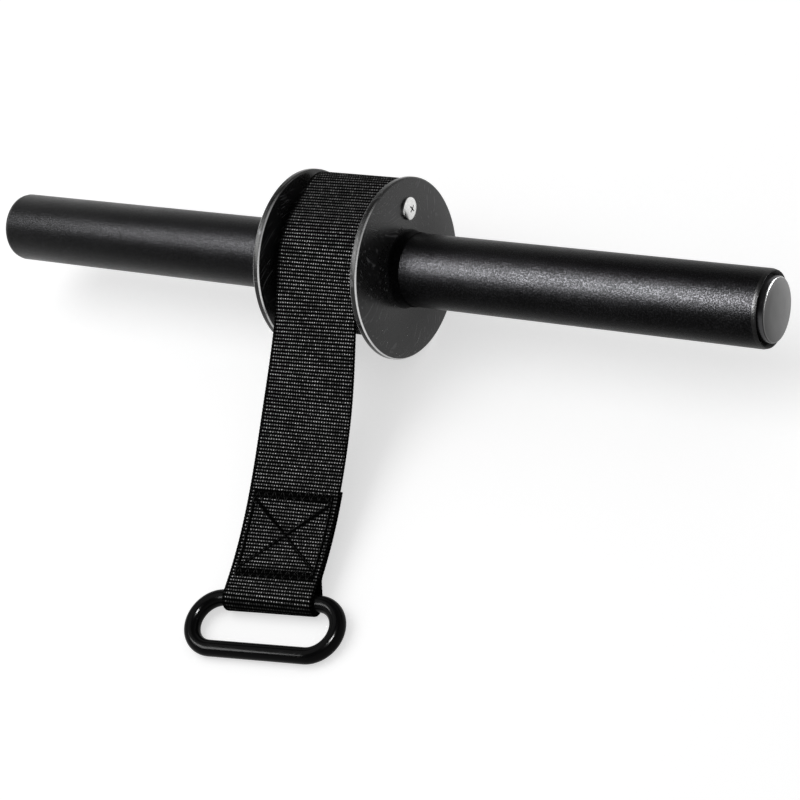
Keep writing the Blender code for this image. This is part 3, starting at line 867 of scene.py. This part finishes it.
@finish("disc_satin_coat", specular=0.40)
def disc_coat(b, here, colours, hard):
    """Satin coat of the discs, with hairlines, specks, thin pale rims that are partly wear and partly
    painted highlight, and a painted highlight on the front of each rim's bevel.
    """
    grain = coat_grain(b, Vector=here, Grain=0.00062)
    radius = round_the_axis(b, Vector=here)["Radius"]
    marks = dust_and_hairlines(b, Vector=here)
    rim = hard.flange_diameter / 2
    # Thin pale rim round each disc, also made metallic: partly wear, partly painted highlight.
    rim_wear_and_highlight = edge_wear_and_highlight(b, Vector=here, Value=radius, Start=rim - 0.0009, Full=rim - 0.0006, Breakup=0.3)
    rim_wear_and_highlight = rim_wear_and_highlight["Mask"]
    # Painted highlight: the rim's bevel turns pale bare metal on its front side only, towards -Y.
    front = b.ramp(b.split(here)[1], AXIS.y + 0.008, AXIS.y - 0.014)
    bevel = rim_wear_and_highlight * b.ramp(radius, rim - 0.00003, rim - 0.00015) * front
    tone = b.mix(grain["Fleck"] * 0.6, colours.disc, colours.disc * 2.4)
    tone = b.mix(marks["Hair"] * 0.4, tone, colours.disc * 22.0)
    tone = b.mix(marks["Specks"] * 0.5, tone, colours.rim)
    tone = b.mix(rim_wear_and_highlight * 0.22, tone, colours.rim)
    tone = b.mix(bevel * 0.9, tone, colours.bare)
    rough = 0.18 + b.noise(here, 60.0, 5.0, 0.7) * 0.20 + marks["Hair"] * 0.10
    b.surface(tone, rough, grain["Height"], 0.45, 0.00012, b.math("MAXIMUM", bevel, rim_wear_and_highlight * 0.92))


@finish("plug_satin_steel", metallic=1.0)
def plug_steel(b, here, colours, hard):
    """Turned satin face with a darker, glossier shoulder behind it, a painted sheen that lightens the face
    towards one side, and a painted highlight round its edge.
    """
    ring = round_the_axis(b, Vector=here)
    lines = turned_lines(b, Radius=ring["Radius"], Pitch=0.00011)
    step = hard.tube_length / 2 + hard.plug_neck_stand
    face = b.ramp(ring["Along"], step + 0.00002, step + 0.00012)
    smear = b.noise(here, 130.0, 4.0, 0.6)
    bright = b.mix(lines["Tone"], colours.steel * 0.86, colours.steel * 1.1)
    # Painted sheen: the face is lightened along one slant across it, as a reflection would light it.
    middle = b.vector("SUBTRACT", here, AXIS)
    slant = b.vector("DOT_PRODUCT", middle, (0.0, 0.75, -0.66), outlet="Value")
    painted_sheen = b.ramp(slant + smear * 0.006, -0.012, 0.020, 0.55, 1.35)
    tone = b.mix(face, colours.shoulder, b.mix(1.0, bright, painted_sheen, "MULTIPLY"))
    # Painted highlight: a pale ring round the edge of the face.
    edge = hard.plug_face_diameter / 2
    rim = b.ramp(ring["Radius"], edge - 0.0005, edge - 0.0003)
    tone = b.mix(rim * face * 0.22, tone, colours.plug_rim_highlight)
    rough = b.ramp(face, 0.0, 1.0, 0.20, 0.34) + smear * 0.10
    b.surface(tone, rough, lines["Height"], 0.10, 0.00003)


@finish("screw_bright_zinc", metallic=1.0)
def bright_zinc(b, here, colours, hard):
    """Bright plate of the screws, a little clouded, with painted shade in the cross recess."""
    cloud = b.noise(here, 700.0, 3.0, 0.6)
    tone = b.mix(b.ramp(cloud, 0.3, 0.7), colours.zinc * 0.82, colours.zinc)
    x, y, z = b.split(b.vector("SUBTRACT", here, anchor_axis(hard)))
    square = y * y + z * z
    bowed = square * ((hard.head_height - hard.head_side) / (hard.head_diameter / 2) ** 2)
    deep = hard.spool_width / 2 + hard.flange_thickness + hard.head_height - bowed - abs(x)
    # Painted shade: the cross recess is darkened towards the shoulder colour.
    reach = hard.recess_span / 2 + 0.0001
    inside = b.ramp(deep, 0.00012, 0.00035) * b.math("LESS_THAN", square, reach**2)
    tone = b.mix(inside * 0.9, tone, colours.shoulder)
    rough = b.ramp(cloud, 0.25, 0.75, 0.16, 0.28)
    b.surface(tone, rough, b.noise(here, 2600.0, 2.0), 0.12, 0.00003)


@finish("plain_turned_steel", metallic=1.0)
def plain_steel(b, here, colours, hard):
    """Turned steel of the anchor inside the spool."""
    along = round_the_axis(b, Vector=here)["Along"]
    lines = turned_lines(b, Radius=along, Pitch=0.00018)
    tone = b.mix(lines["Tone"], colours.plain * 0.7, colours.plain)
    rough = b.ramp(b.noise(here, 90.0, 3.0), 0.3, 0.7, 0.30, 0.46)
    b.surface(tone, rough, lines["Height"], 0.2, 0.00004)


@finish("ring_smooth_coat", specular=0.034)
def ring_coat(b, here, colours, hard):
    """Smooth satin coat of the ring, with a faint orange-peel and a few specks."""
    marks = dust_and_hairlines(b, Vector=here)
    tone = b.mix(marks["Specks"] * 0.25, colours.ring, colours.rim)
    rough = b.ramp(b.noise(here, 70.0, 3.0), 0.3, 0.7, 0.13, 0.19) + marks["Hair"] * 0.06
    b.surface(tone, rough, b.noise(here, 480.0, 2.0, 0.5), 0.16, 0.00008)


@finish("strap_ribbed_webbing", specular=0.003)
def webbing(b, here, colours, hard):
    """Black ribbed webbing: painted glints on the crowns of its yarns, painted shade in the valleys, and the
    glints faded near the edges, under the seams and past the fold.
    """
    web = bpy.context.scene.webbing_sizes
    chart = b.node("UVMap", uv_map="Webbing")[0]
    across, along, _ = b.split(chart)
    weave = ribbed_weave(b, Vector=chart, Rib=web.rib_pitch, Yarn=web.yarn_pitch)
    leaves = strap_lines(web, hard)[2]
    seams = sewn_box(
        b, Vector=chart, Start=leaves + web.seam_start, End=leaves + web.seam_end,
        Half=web.width / 2 - web.seam_inset, Band=web.seam_band / 2,
    )["Mask"]
    fold, edge = leaves + web.free_length, web.width / 2
    # Painted glints: the yarns' crowns are coloured pale and made metallic where they would catch the light.
    bright = weave["Glint"] * b.ramp(b.noise(here, 75.0, 3.0, 0.6), 0.3, 0.7, 0.75, 1.0)
    bright = bright * (1.0 - seams * 0.94)
    # The painted glints fade to about a third past the fold round the ring, and further near the edges.
    bright = bright * b.ramp(along, fold + 0.001, fold + 0.006, 1.0, 0.35)
    bright = bright * b.ramp(abs(across), edge - 0.0018, edge - 0.0007, 1.0, 0.15)
    # The colour runs from the painted valley shade to the pale yarn colour of the painted glints.
    tone = b.mix(bright, colours.valley, colours.yarn)
    rough = b.ramp(weave["Glint"], 0.0, 0.8, 0.9, 0.5)
    b.surface(tone, rough, weave["Height"], 0.8, 0.00035, b.ramp(bright, 0.0, 0.6, 0.0, 0.75))


@finish("strap_sewing_thread", specular=0.05)
def sewing_thread(b, here, colours, hard):
    """Black bonded thread with a fine twist."""
    twist = b.noise(here, 3800.0, 1.0, 0.5)
    tone = b.mix(twist, colours.thread * 0.5, colours.thread * 1.6)
    b.surface(tone, b.ramp(twist, 0.2, 0.8, 0.42, 0.60), twist, 0.5, 0.0001)


# Operators, one for each piece or group of like pieces

class ROLLER_OT_bar(bpy.types.Operator):
    """Tube that runs through the spool and is both grips"""

    bl_idname = "roller.bar"
    bl_label = "Bar"

    def execute(self, context):
        s = context.scene.roller_sizes
        half, radius = s.tube_length / 2, s.tube_diameter / 2
        right = [
            (half - s.tube_mouth, radius - s.tube_wall),
            (half, radius - s.tube_edge_depth - 0.0003),
            (half, radius - s.tube_edge_depth),
            (half - s.tube_edge_run, radius),
        ]
        piece = lathe(both_ends(right), 160)
        round_edges(piece, 0.00025, 3, 20)
        complete(piece, "bar_grip_tube", "roller", "bar_coat", bar_coat(), ["bar_tube"])
        return {"FINISHED"}


PLUG_RECESS = 0.003


class ROLLER_OT_end_plugs(bpy.types.Operator):
    """Stepped steel plug in each end of the bar"""

    bl_idname = "roller.end_plugs"
    bl_label = "End plugs"

    def execute(self, context):
        s = context.scene.roller_sizes
        half = s.tube_length / 2
        grip = s.tube_diameter / 2 - s.tube_wall - s.seat_gap
        neck, face = s.plug_neck_diameter / 2, s.plug_face_diameter / 2
        foot, step, front = half - s.plug_depth, half + s.plug_neck_stand, half + s.plug_face_stand
        shoulder = half - PLUG_RECESS
        profile = [
            (foot, 0.0),
            (foot, grip - 0.0005),
            (foot + 0.0005, grip),
            (shoulder, grip),
            (shoulder, neck),
            (step, neck),
            (step, face - 0.00025),
            (step + 0.00025, face),
            (front - 0.0005, face),
            (front - 0.00015, face - 0.0002),
            (front, face - 0.0006),
            (front, face * 0.5),
            (front, 0.0),
        ]
        right = lathe(profile, 128)
        round_edges(right, 0.00012, 2, 35)
        complete(right, "end_plug_right", "roller", "plug_steel", plug_steel(), ["right_end_plug"])
        mirrored(right, "end_plug_left", "left_end_plug")
        return {"FINISHED"}


class ROLLER_OT_flanges(bpy.types.Operator):
    """The two discs of the spool, each with a low boss and a hole for its screw"""

    bl_idname = "roller.flanges"
    bl_label = "Flanges"

    def execute(self, context):
        s = context.scene.roller_sizes
        inner = s.spool_width / 2
        outer, radius, edge = inner + s.flange_thickness, s.flange_diameter / 2, s.flange_edge
        bore = s.tube_diameter / 2 + s.seat_gap
        boss, tip = bore + s.boss_wall, outer + s.boss_length
        disc = [
            (inner, bore),
            (inner, radius - edge),
            (inner + edge, radius),
            (outer - edge, radius),
            (outer, radius - edge),
            (outer, bore),
        ]
        right = lathe(disc, 192)
        round_edges(right, 0.00022, 3, 30)
        below, above, hole = inner - 0.002, outer + 0.002, s.screw_hole / 2
        cut(right, lathe([(below, 0.0), (below, hole), (above, hole), (above, 0.0)], 40, anchor_axis(s)))
        complete(right, "flange_right", "roller", "disc_coat", disc_coat(), ["right_flange"])
        mirrored(right, "flange_left", "left_flange")
        collar = [
            (outer, bore),
            (outer, boss + 0.0009),
            (outer + 0.0005, boss + 0.0003),
            (outer + 0.0014, boss),
            (tip - 0.003, boss - 0.0002),
            (tip, bore + 0.00008),
            (tip, bore),
        ]
        right = lathe(collar, 160)
        complete(right, "boss_right", "roller", "bar_coat", bar_coat(), smooth=50.0)
        mirrored(right, "boss_left")
        return {"FINISHED"}


class ROLLER_OT_drum(bpy.types.Operator):
    """Sleeve between the discs that the webbing winds on"""

    bl_idname = "roller.drum"
    bl_label = "Drum"

    def execute(self, context):
        s, low, high = context.scene.roller_sizes, *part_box("spool_drum")
        reach, radius = high.x, (high.z - low.z) / 2
        bore = s.tube_diameter / 2 + s.seat_gap
        piece = lathe([(-reach, bore), (-reach, radius), (reach, radius), (reach, bore)], 128)
        round_edges(piece, 0.0004, 2, 40)
        complete(piece, "drum_sleeve", "roller", "disc_coat", disc_coat(), ["spool_drum"])
        return {"FINISHED"}


class ROLLER_OT_anchor(bpy.types.Operator):
    """Barrel nut between the discs that the webbing is sewn round"""

    bl_idname = "roller.anchor"
    bl_label = "Anchor"

    def execute(self, context):
        s, high = context.scene.roller_sizes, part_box("anchor_pin")[1]
        reach, radius, thread = high.x, s.anchor_diameter / 2, s.screw_diameter / 2 + s.seat_gap
        bottom = reach - 0.0105
        right = [
            (bottom, 0.0),
            (bottom, thread),
            (reach - 0.0005, thread),
            (reach, thread + 0.0005),
            (reach, radius - 0.0004),
            (reach - 0.0004, radius),
        ]
        piece = lathe(both_ends(right), 64, anchor_axis(s))
        round_edges(piece, 0.0001, 2, 40)
        complete(piece, "anchor_barrel", "roller", "plain_steel", plain_steel(), ["anchor_pin"])
        return {"FINISHED"}


class ROLLER_OT_screws(bpy.types.Operator):
    """Round-headed screws with a cross recess, one at each end of the anchor"""

    bl_idname = "roller.screws"
    bl_label = "Anchor screws"

    def execute(self, context):
        s = context.scene.roller_sizes
        seat = s.spool_width / 2 + s.flange_thickness
        shank, head, top = s.screw_diameter / 2, s.head_diameter / 2, seat + s.head_height
        foot, side, edge = seat - s.screw_grip, seat + s.head_side, 0.0005
        profile = [
            (foot, 0.0),
            (foot, shank - 0.0006),
            (foot + 0.0006, shank),
            (seat, shank),
            (seat, head - 0.0002),
            (seat + 0.0002, head),
        ]
        for i in range(5):
            a = math.pi * i / 12
            profile.append((side + edge * math.sin(a), head - edge * (1 - math.cos(a))))
        start, brim = profile[-1]
        for i in range(1, 9):
            out = 1 - i / 8
            profile.append((start + (top - start) * (1 - out**2), brim * out))
        right = lathe(profile, 64, anchor_axis(s))
        cut(right, self.cross(s, anchor_axis(s) + Vector((top, 0, 0))))
        round_edges(right, 0.00009, 2, 50)
        complete(right, "anchor_screw_right", "roller", "bright_zinc", bright_zinc(), ["right_anchor_screw"])
        mirrored(right, "anchor_screw_left", "left_anchor_screw")
        return {"FINISHED"}

    def cross(self, s, crown):
        """A cross with four arms that narrow towards its point, to cut the recess with."""
        slot = s.recess_slot
        block = (2 * s.recess_depth, slot, slot)
        cutter = begin(bpy.ops.mesh.primitive_cube_add, size=1, scale=block, location=crown)
        for way in (Vector((0, 1, 0)), Vector((0, -1, 0)), Vector((0, 0, 1)), Vector((0, 0, -1))):
            pick(cutter, "polygons", lambda f: f.normal.dot(way) > 0.9 and f.center.cross(way).length < 1e-5)
            push = way * (s.recess_span - slot) / 2
            bpy.ops.mesh.extrude_region_move(TRANSFORM_OT_translate={"value": push})
        pick(cutter, "vertices", lambda v: v.co.x < 0)
        bpy.ops.transform.resize(value=(1, 0.42, 0.42), center_override=crown)
        bpy.ops.mesh.select_all(action="SELECT")
        bpy.ops.transform.rotate(value=math.radians(80), orient_axis="X", center_override=crown)
        close_up()
        bpy.ops.object.mode_set(mode="OBJECT")
        return cutter


class ROLLER_OT_ring(bpy.types.Operator):
    """Long oval ring of round bar, sewn into the strap's end"""

    bl_idname = "roller.ring"
    bl_label = "Ring"

    def execute(self, context):
        s = context.scene.roller_sizes
        bar, half, bend = s.ring_bar / 2, s.ring_straight / 2, s.ring_bend
        piece = begin(
            bpy.ops.mesh.primitive_circle_add, vertices=40, radius=bar, fill_type="NOTHING",
            location=(half, 0, 0), rotation=(0, math.pi / 2, 0),
        )
        bpy.ops.mesh.select_all(action="SELECT")
        for end in (half, -half):
            bpy.ops.mesh.spin(steps=40, angle=math.pi, center=(end, -bend, 0), axis=(0, 0, 1))
            bpy.ops.mesh.extrude_region_move(TRANSFORM_OT_translate={"value": (-2 * end, 0, 0)})
        close_up()
        bpy.ops.object.mode_set(mode="OBJECT")
        piece.data.transform(piece.matrix_world)
        side = HINGE_WAY.normalized()
        fall = (HINGE.z - bar) / (2 * bend)
        ahead = Vector((side.y, -side.x, 0)) * math.sqrt(1 - fall * fall) - Vector((0, 0, fall))
        axes = Matrix((side, -ahead, side.cross(-ahead))).transposed().to_4x4()
        piece.matrix_world = Matrix.Translation(HINGE) @ axes
        complete(piece, "ring_oval", "ring", "ring_coat", ring_coat(), ["ring"], 60.0)
        return {"FINISHED"}


class ROLLER_OT_strap(bpy.types.Operator):
    """Webbing from under its outer turn, over the roll and down to its sewn eye round the ring"""

    bl_idname = "roller.strap"
    bl_label = "Strap"

    def execute(self, context):
        web, hard = context.scene.webbing_sizes, context.scene.roller_sizes
        points, sides, wound = strap_lines(web, hard)
        lines = stations(points, sides, web.rib_pitch / 6)
        skews = (web.skew_roll, web.skew_free, web.skew_free, web.skew_ring)
        skew = np.interp(lines[3] - wound, SKEW_PLACES, skews)
        piece = ribbon(web, lines, 14, skew=skew)
        complete(piece, "strap_webbing", "strap", "webbing", webbing(), ["strap", "strap_winding"], 60.0)
        return {"FINISHED"}


class ROLLER_OT_layers(bpy.types.Operator):
    """Wound layers under the outer turn, pressed thinner where they pass the anchor"""

    bl_idname = "roller.layers"
    bl_label = "Wound layers"

    def execute(self, context):
        web, hard = context.scene.webbing_sizes, context.scene.roller_sizes
        whole, turns = turn_length(web, hard), web.inner_turns
        eye = eye_radius(web, hard, hard.anchor_diameter)
        base = hard.anchor_radius - eye + 1.5 * web.thickness + web.layer_gap + hard.seat_gap
        points, thick = [], []
        for i in range(turns * LAYER_STEPS + 1):
            turn = i / LAYER_STEPS
            distance = web.overlap + whole * (turn % 1.0)
            outside = roll_at(web, hard, distance, web.thickness / 2 + web.layer_gap)
            centre, radius = self.seat(web, hard, distance, base, eye + web.thickness)
            pitch = ((outside - centre).length - radius) / turns
            inward = (centre - outside).normalized() * pitch * (turn + 0.5 - 0.5 * turn / turns)
            points.append(strap_middle(web) + outside + inward)
            thick.append(min(1.0, (pitch - 0.00025) / web.thickness))
        lines = stations(points, [Vector((-1, 0, 0))] * len(points), web.rib_pitch / 4)
        spread = np.interp(np.linspace(0, 1, len(lines[3])), np.linspace(0, 1, len(thick)), thick)
        piece = ribbon(web, lines, columns=4, thick=spread)
        complete(piece, "strap_inner_layers", "strap", "webbing", webbing(), ["strap_wound_core"], 60.0)
        return {"FINISHED"}

    def seat(self, web, hard, distance, base, over):
        """Centre and radius of what the layers press on at a distance round the roll."""
        k, _, past = leg_at(web, hard, distance)
        legs, radii = roll_legs(web, hard), (base, over, base)
        centre, _, _, _, run = legs[k]
        after, done = min(k + 1, 2), past / run if past else 0.0
        return centre.lerp(legs[after][0], done), radii[k] + (radii[after] - radii[k]) * done


class ROLLER_OT_anchor_eye(bpy.types.Operator):
    """Webbing's inner end: its first turn on the drum and its sewn eye round the anchor"""

    bl_idname = "roller.anchor_eye"
    bl_label = "Anchor eye"

    def execute(self, context):
        web, hard = context.scene.webbing_sizes, context.scene.roller_sizes
        eye = eye_radius(web, hard, hard.anchor_diameter)
        inner = hard.anchor_radius - eye
        back = [ANCHOR_WRAP * (1 - i / INNER_STEPS) for i in range(INNER_STEPS + 1)]
        points = [spoke(ANCHOR_ANGLE - turn) * inner for turn in back]
        for ahead, down in eye_path(web, eye, web.anchor_lap):
            angle = ANCHOR_ANGLE + math.degrees(min(ahead, 0) / inner)
            points.append(spoke(angle) * (inner + down) + tangent(angle) * max(ahead, 0))
        points = [strap_middle(web) + point for point in points]
        lines = stations(points, [Vector((1, 0, 0))] * len(points), web.rib_pitch / 4)
        piece = ribbon(web, lines, columns=4)
        complete(piece, "strap_anchor_eye", "roller", "webbing", webbing(), ["strap_inner_end"], 60.0)
        return {"FINISHED"}


class ROLLER_OT_stitches(bpy.types.Operator):
    """Sewn box with a cross in it, stitch by stitch, on the strap above the ring"""

    bl_idname = "roller.stitches"
    bl_label = "Stitches"

    def execute(self, context):
        web, hard = context.scene.webbing_sizes, context.scene.roller_sizes
        points, sides, wound = strap_lines(web, hard)
        *frames, at = stations(points, sides, web.rib_pitch / 6)
        frames = np.hstack(frames).T
        spots, faces = [], []
        shape, loops = self.one(web)
        for start, end in self.rows(web, wound):
            length = math.hypot(*(end - start))
            count = max(1, round(length / web.stitch))
            way = (end - start) / length
            for i in range(count):
                middle = start + way * length * (i + 0.5) / count
                faces += [[len(spots) + v for v in loop] for loop in loops]
                for x, y, z in shape:
                    a, s = middle + way * x + np.array([-way[1], way[0]]) * y
                    place, side, up = np.array([np.interp(s, at, v) for v in frames]).reshape(3, 3)
                    spots.append(place + side * a + up * (web.thickness / 2 + z))
        mesh = bpy.data.meshes.new("stitches")
        mesh.from_pydata([tuple(spot) for spot in spots], [], faces)
        piece = bpy.data.objects.new("stitches", mesh)
        context.scene.collection.objects.link(piece)
        complete(piece, "strap_stitches", "strap", "webbing", sewing_thread(), (), 60.0)
        return {"FINISHED"}

    def rows(self, web, wound):
        """Start and end of each straight seam, as places across and along the strap."""
        wide, band = web.width / 2 - web.seam_inset, web.seam_band / 2
        top, low = wound + web.seam_start, wound + web.seam_end
        rows = [((a, top), (a, low)) for a in (-wide, wide)]
        rows += [((a, top + band), (-a, low - band)) for a in (-wide, wide)]
        turns = round(2 * wide / web.seam_step)
        for middle in (top, low):
            ends = [(-wide + 2 * wide * i / turns, middle + band * (-1) ** i) for i in range(turns + 1)]
            rows += zip(ends, ends[1:])
        return np.array(rows)

    def one(self, web):
        """One stitch: a short thread whose ends dive into the webbing."""
        half = web.stitch * 0.46
        piece = begin(
            bpy.ops.mesh.primitive_cylinder_add, vertices=8, radius=web.thread / 2, depth=2 * half,
            location=(0, 0, 0), rotation=(0, math.pi / 2, 0),
        )
        for x in (-0.78, -0.3, 0.3, 0.78):
            bpy.ops.mesh.select_all(action="SELECT")
            bpy.ops.mesh.bisect(plane_co=(x * half, 0, 0), plane_no=(1, 0, 0))
        bpy.ops.object.mode_set(mode="OBJECT")
        piece.data.transform(piece.matrix_world)
        shape = []
        for v in piece.data.vertices:
            along = abs(v.co.x) / half
            slim = 1 - 0.55 * max(0, along - 0.6) / 0.4
            shape.append((v.co.x, v.co.y * slim, v.co.z * slim - 0.00042 * along**3 + 0.00004))
        loops = [list(f.vertices) for f in piece.data.polygons]
        bpy.data.objects.remove(piece)
        return shape, loops


CAMERA_AWAY = Vector((0.62318, -0.538802, 0.72542))
CAMERA_AXES = ((0.8298, 0.4147, -0.3734), (-0.1267, 0.7917, 0.5976), (0.5435, -0.4486, 0.7095))
CAMERA_LENS = 93.70
WHITE = (1, 1, 1, 1)
SPOOL_AIM = (0.08, 0.085, 0.05)
DISCS = ("flange_right", "flange_left")
SOFT_PIECES = ("strap_webbing", "strap_stitches")


class ROLLER_OT_stage(bpy.types.Operator):
    """Pale floor, soft light and the camera"""

    bl_idname = "roller.stage"
    bl_label = "Stage"

    def execute(self, context):
        scene, s = context.scene, context.scene.studio_settings
        self.floor(s)
        self.world(scene, s)
        lamps = {
            "key_softbox": ((-0.62, -0.05, 1.25), (0.0, 0.03, 0.04), s.key, (s.key_size, s.key_size)),
            "right_box": (
                (-0.08, -0.28, 0.86), (0.0, 0.085, 0.05), s.right_box, (0.70, 0.52), "bar_grip_tube"
            ),
            "left_box": (
                (-0.90, -0.18, 0.86), (-0.85, 0.085, 0.05), s.left_box, (0.64, 0.52), "bar_grip_tube"
            ),
            "disc_box": ((-0.46, -0.43, 0.87), SPOOL_AIM, s.disc_box, (1.20, 0.55), *DISCS),
            "front_box": ((-0.60, -0.42, 0.87), SPOOL_AIM, s.front_box, (1.20, 0.55), *SOFT_PIECES),
            "ring_box": (
                (-0.70, -0.50, 0.87), (-0.05, -0.10, 0.0), s.ring_box, (0.80, 0.26), "ring_oval"
            ),
            "ring_lamp": ((0.42, -0.10, 0.98), (0.0, -0.12, 0.0), s.ring_lamp, (0.20, 0.20), "ring_oval"),
            "side_card": (
                (0.95, 0.75, 0.20), (0.03, 0.08, 0.06), s.side_card, (0.80, 0.50), "end_plug_right"
            ),
        }
        for name, facts in lamps.items():
            self.lamp(name, *facts)
        self.camera(scene)
        scene.view_settings.view_transform = "Standard"
        return {"FINISHED"}

    def seen(self, b):
        """Two masks, 1 or 0: what the eye sees straight, and what it sees in metal or glass."""
        path = b.node("LightPath")
        mirrored_ray = b.math("MAXIMUM", path["Is Glossy Ray"], path["Is Transmission Ray"])
        return path["Is Camera Ray"], mirrored_ray

    def floor(self, s):
        ground = begin(bpy.ops.mesh.primitive_plane_add, size=30, location=(0, 0, 0))
        bpy.ops.object.mode_set(mode="OBJECT")
        ground.name = "studio_floor"
        made = bpy.data.materials.new("studio_floor")
        made.use_nodes = True
        b = Board(made.node_tree)
        b.tree.nodes.remove(b.tree.nodes["Principled BSDF"])
        fleck = b.noise(b.node("TexCoord")["Object"], 3.0, 2.0)
        pale = b.mix(fleck, (s.floor, s.floor, s.floor), (s.floor * 0.995, s.floor * 0.995, s.floor))
        matt = b.node("BsdfDiffuse", {"Color": pale})[0]
        glow = b.node("Emission", {"Color": WHITE, "Strength": b.math("MAXIMUM", *self.seen(b)) * s.lift})[0]
        both = b.node("AddShader", {0: matt, 1: glow})[0]
        b.feed(b.tree.nodes["Material Output"].inputs["Surface"], both)
        ground.data.materials.append(made)

    def world(self, scene, s):
        world = bpy.data.worlds.new("studio")
        world.use_nodes = True
        b = Board(world.node_tree)
        straight, in_metal = self.seen(b)
        up = b.split(b.node("TexCoord")["Generated"])[2]
        shown = in_metal * b.ramp(up, 0.25, 0.75, 1.0, s.ceiling) + (1.0 - in_metal) * s.ambient
        background = world.node_tree.nodes["Background"]
        b.feed(background.inputs["Color"], WHITE)
        b.feed(background.inputs["Strength"], b.math("MAXIMUM", straight, shown))
        scene.world = world

    def lamp(self, name, place, target, power, sides, *shown_in):
        """A soft box. One that names pieces shows only in the gloss of those."""
        light = bpy.data.lights.new(name, "AREA")
        light.shape, light.energy = "RECTANGLE", power
        light.size, light.size_y = sides
        made = bpy.data.objects.new(name, light)
        made.location = place
        made.rotation_euler = (Vector(target) - Vector(place)).to_track_quat("-Z", "Y").to_euler()
        made.visible_camera = False
        if shown_in:
            made.visible_diffuse = False
            lit = bpy.data.collections.new(name + "_shows_in")
            for piece in filter(None, map(bpy.data.objects.get, shown_in)):
                lit.objects.link(piece)
            made.light_linking.receiver_collection = lit
        bpy.context.scene.collection.objects.link(made)

    def camera(self, scene):
        """The photograph's view: its place from the bar's axis, and the ways that it looks."""
        lens = bpy.data.cameras.new("studio_camera")
        lens.lens, lens.sensor_width = CAMERA_LENS, 36.0
        made = bpy.data.objects.new("studio_camera", lens)
        turned = Matrix(CAMERA_AXES).transposed().to_4x4()
        made.matrix_world = Matrix.Translation(AXIS + CAMERA_AWAY) @ turned
        scene.collection.objects.link(made)
        scene.camera = made


class ROLLER_PT_panel(bpy.types.Panel):
    """Lists the pieces in the order in which they are made"""

    bl_idname = "ROLLER_PT_panel"
    bl_label = "Wrist Roller"
    bl_space_type = "VIEW_3D"
    bl_region_type = "UI"
    bl_category = "Wrist Roller"

    def draw(self, context):
        for operator in OPERATORS:
            self.layout.operator(operator.bl_idname)
        for name in GROUPS:
            box = self.layout.box()
            settings = getattr(context.scene, name)
            for prop in settings.bl_rna.properties:
                if prop.identifier not in {"rna_type", "name"}:
                    box.prop(settings, prop.identifier)


GROUPS = {
    "roller_sizes": RollerSizes,
    "webbing_sizes": WebbingSizes,
    "roller_finish": RollerFinish,
    "studio_settings": StudioSettings,
}
OPERATORS = (
    ROLLER_OT_bar, ROLLER_OT_end_plugs, ROLLER_OT_flanges, ROLLER_OT_drum,
    ROLLER_OT_anchor, ROLLER_OT_screws, ROLLER_OT_ring, ROLLER_OT_strap,
    ROLLER_OT_layers, ROLLER_OT_anchor_eye, ROLLER_OT_stitches, ROLLER_OT_stage,
)


def register():
    for cls in (*GROUPS.values(), *OPERATORS, ROLLER_PT_panel):
        bpy.utils.register_class(cls)
    for name, cls in GROUPS.items():
        setattr(bpy.types.Scene, name, PointerProperty(type=cls))


def unregister():
    for name in GROUPS:
        delattr(bpy.types.Scene, name)
    for cls in (ROLLER_PT_panel, *OPERATORS[::-1], *reversed(GROUPS.values())):
        bpy.utils.unregister_class(cls)


def plain(box):
    return [[float(v) for v in corner] for corner in box]


def main():
    register()
    bpy.ops.roller.bar()
    bpy.ops.roller.end_plugs()
    bpy.ops.roller.flanges()
    bpy.ops.roller.drum()
    bpy.ops.roller.anchor()
    bpy.ops.roller.screws()
    bpy.ops.roller.ring()
    bpy.ops.roller.strap()
    bpy.ops.roller.layers()
    bpy.ops.roller.anchor_eye()
    bpy.ops.roller.stitches()
    bpy.ops.roller.stage()


if __name__ == "__main__":
    main()
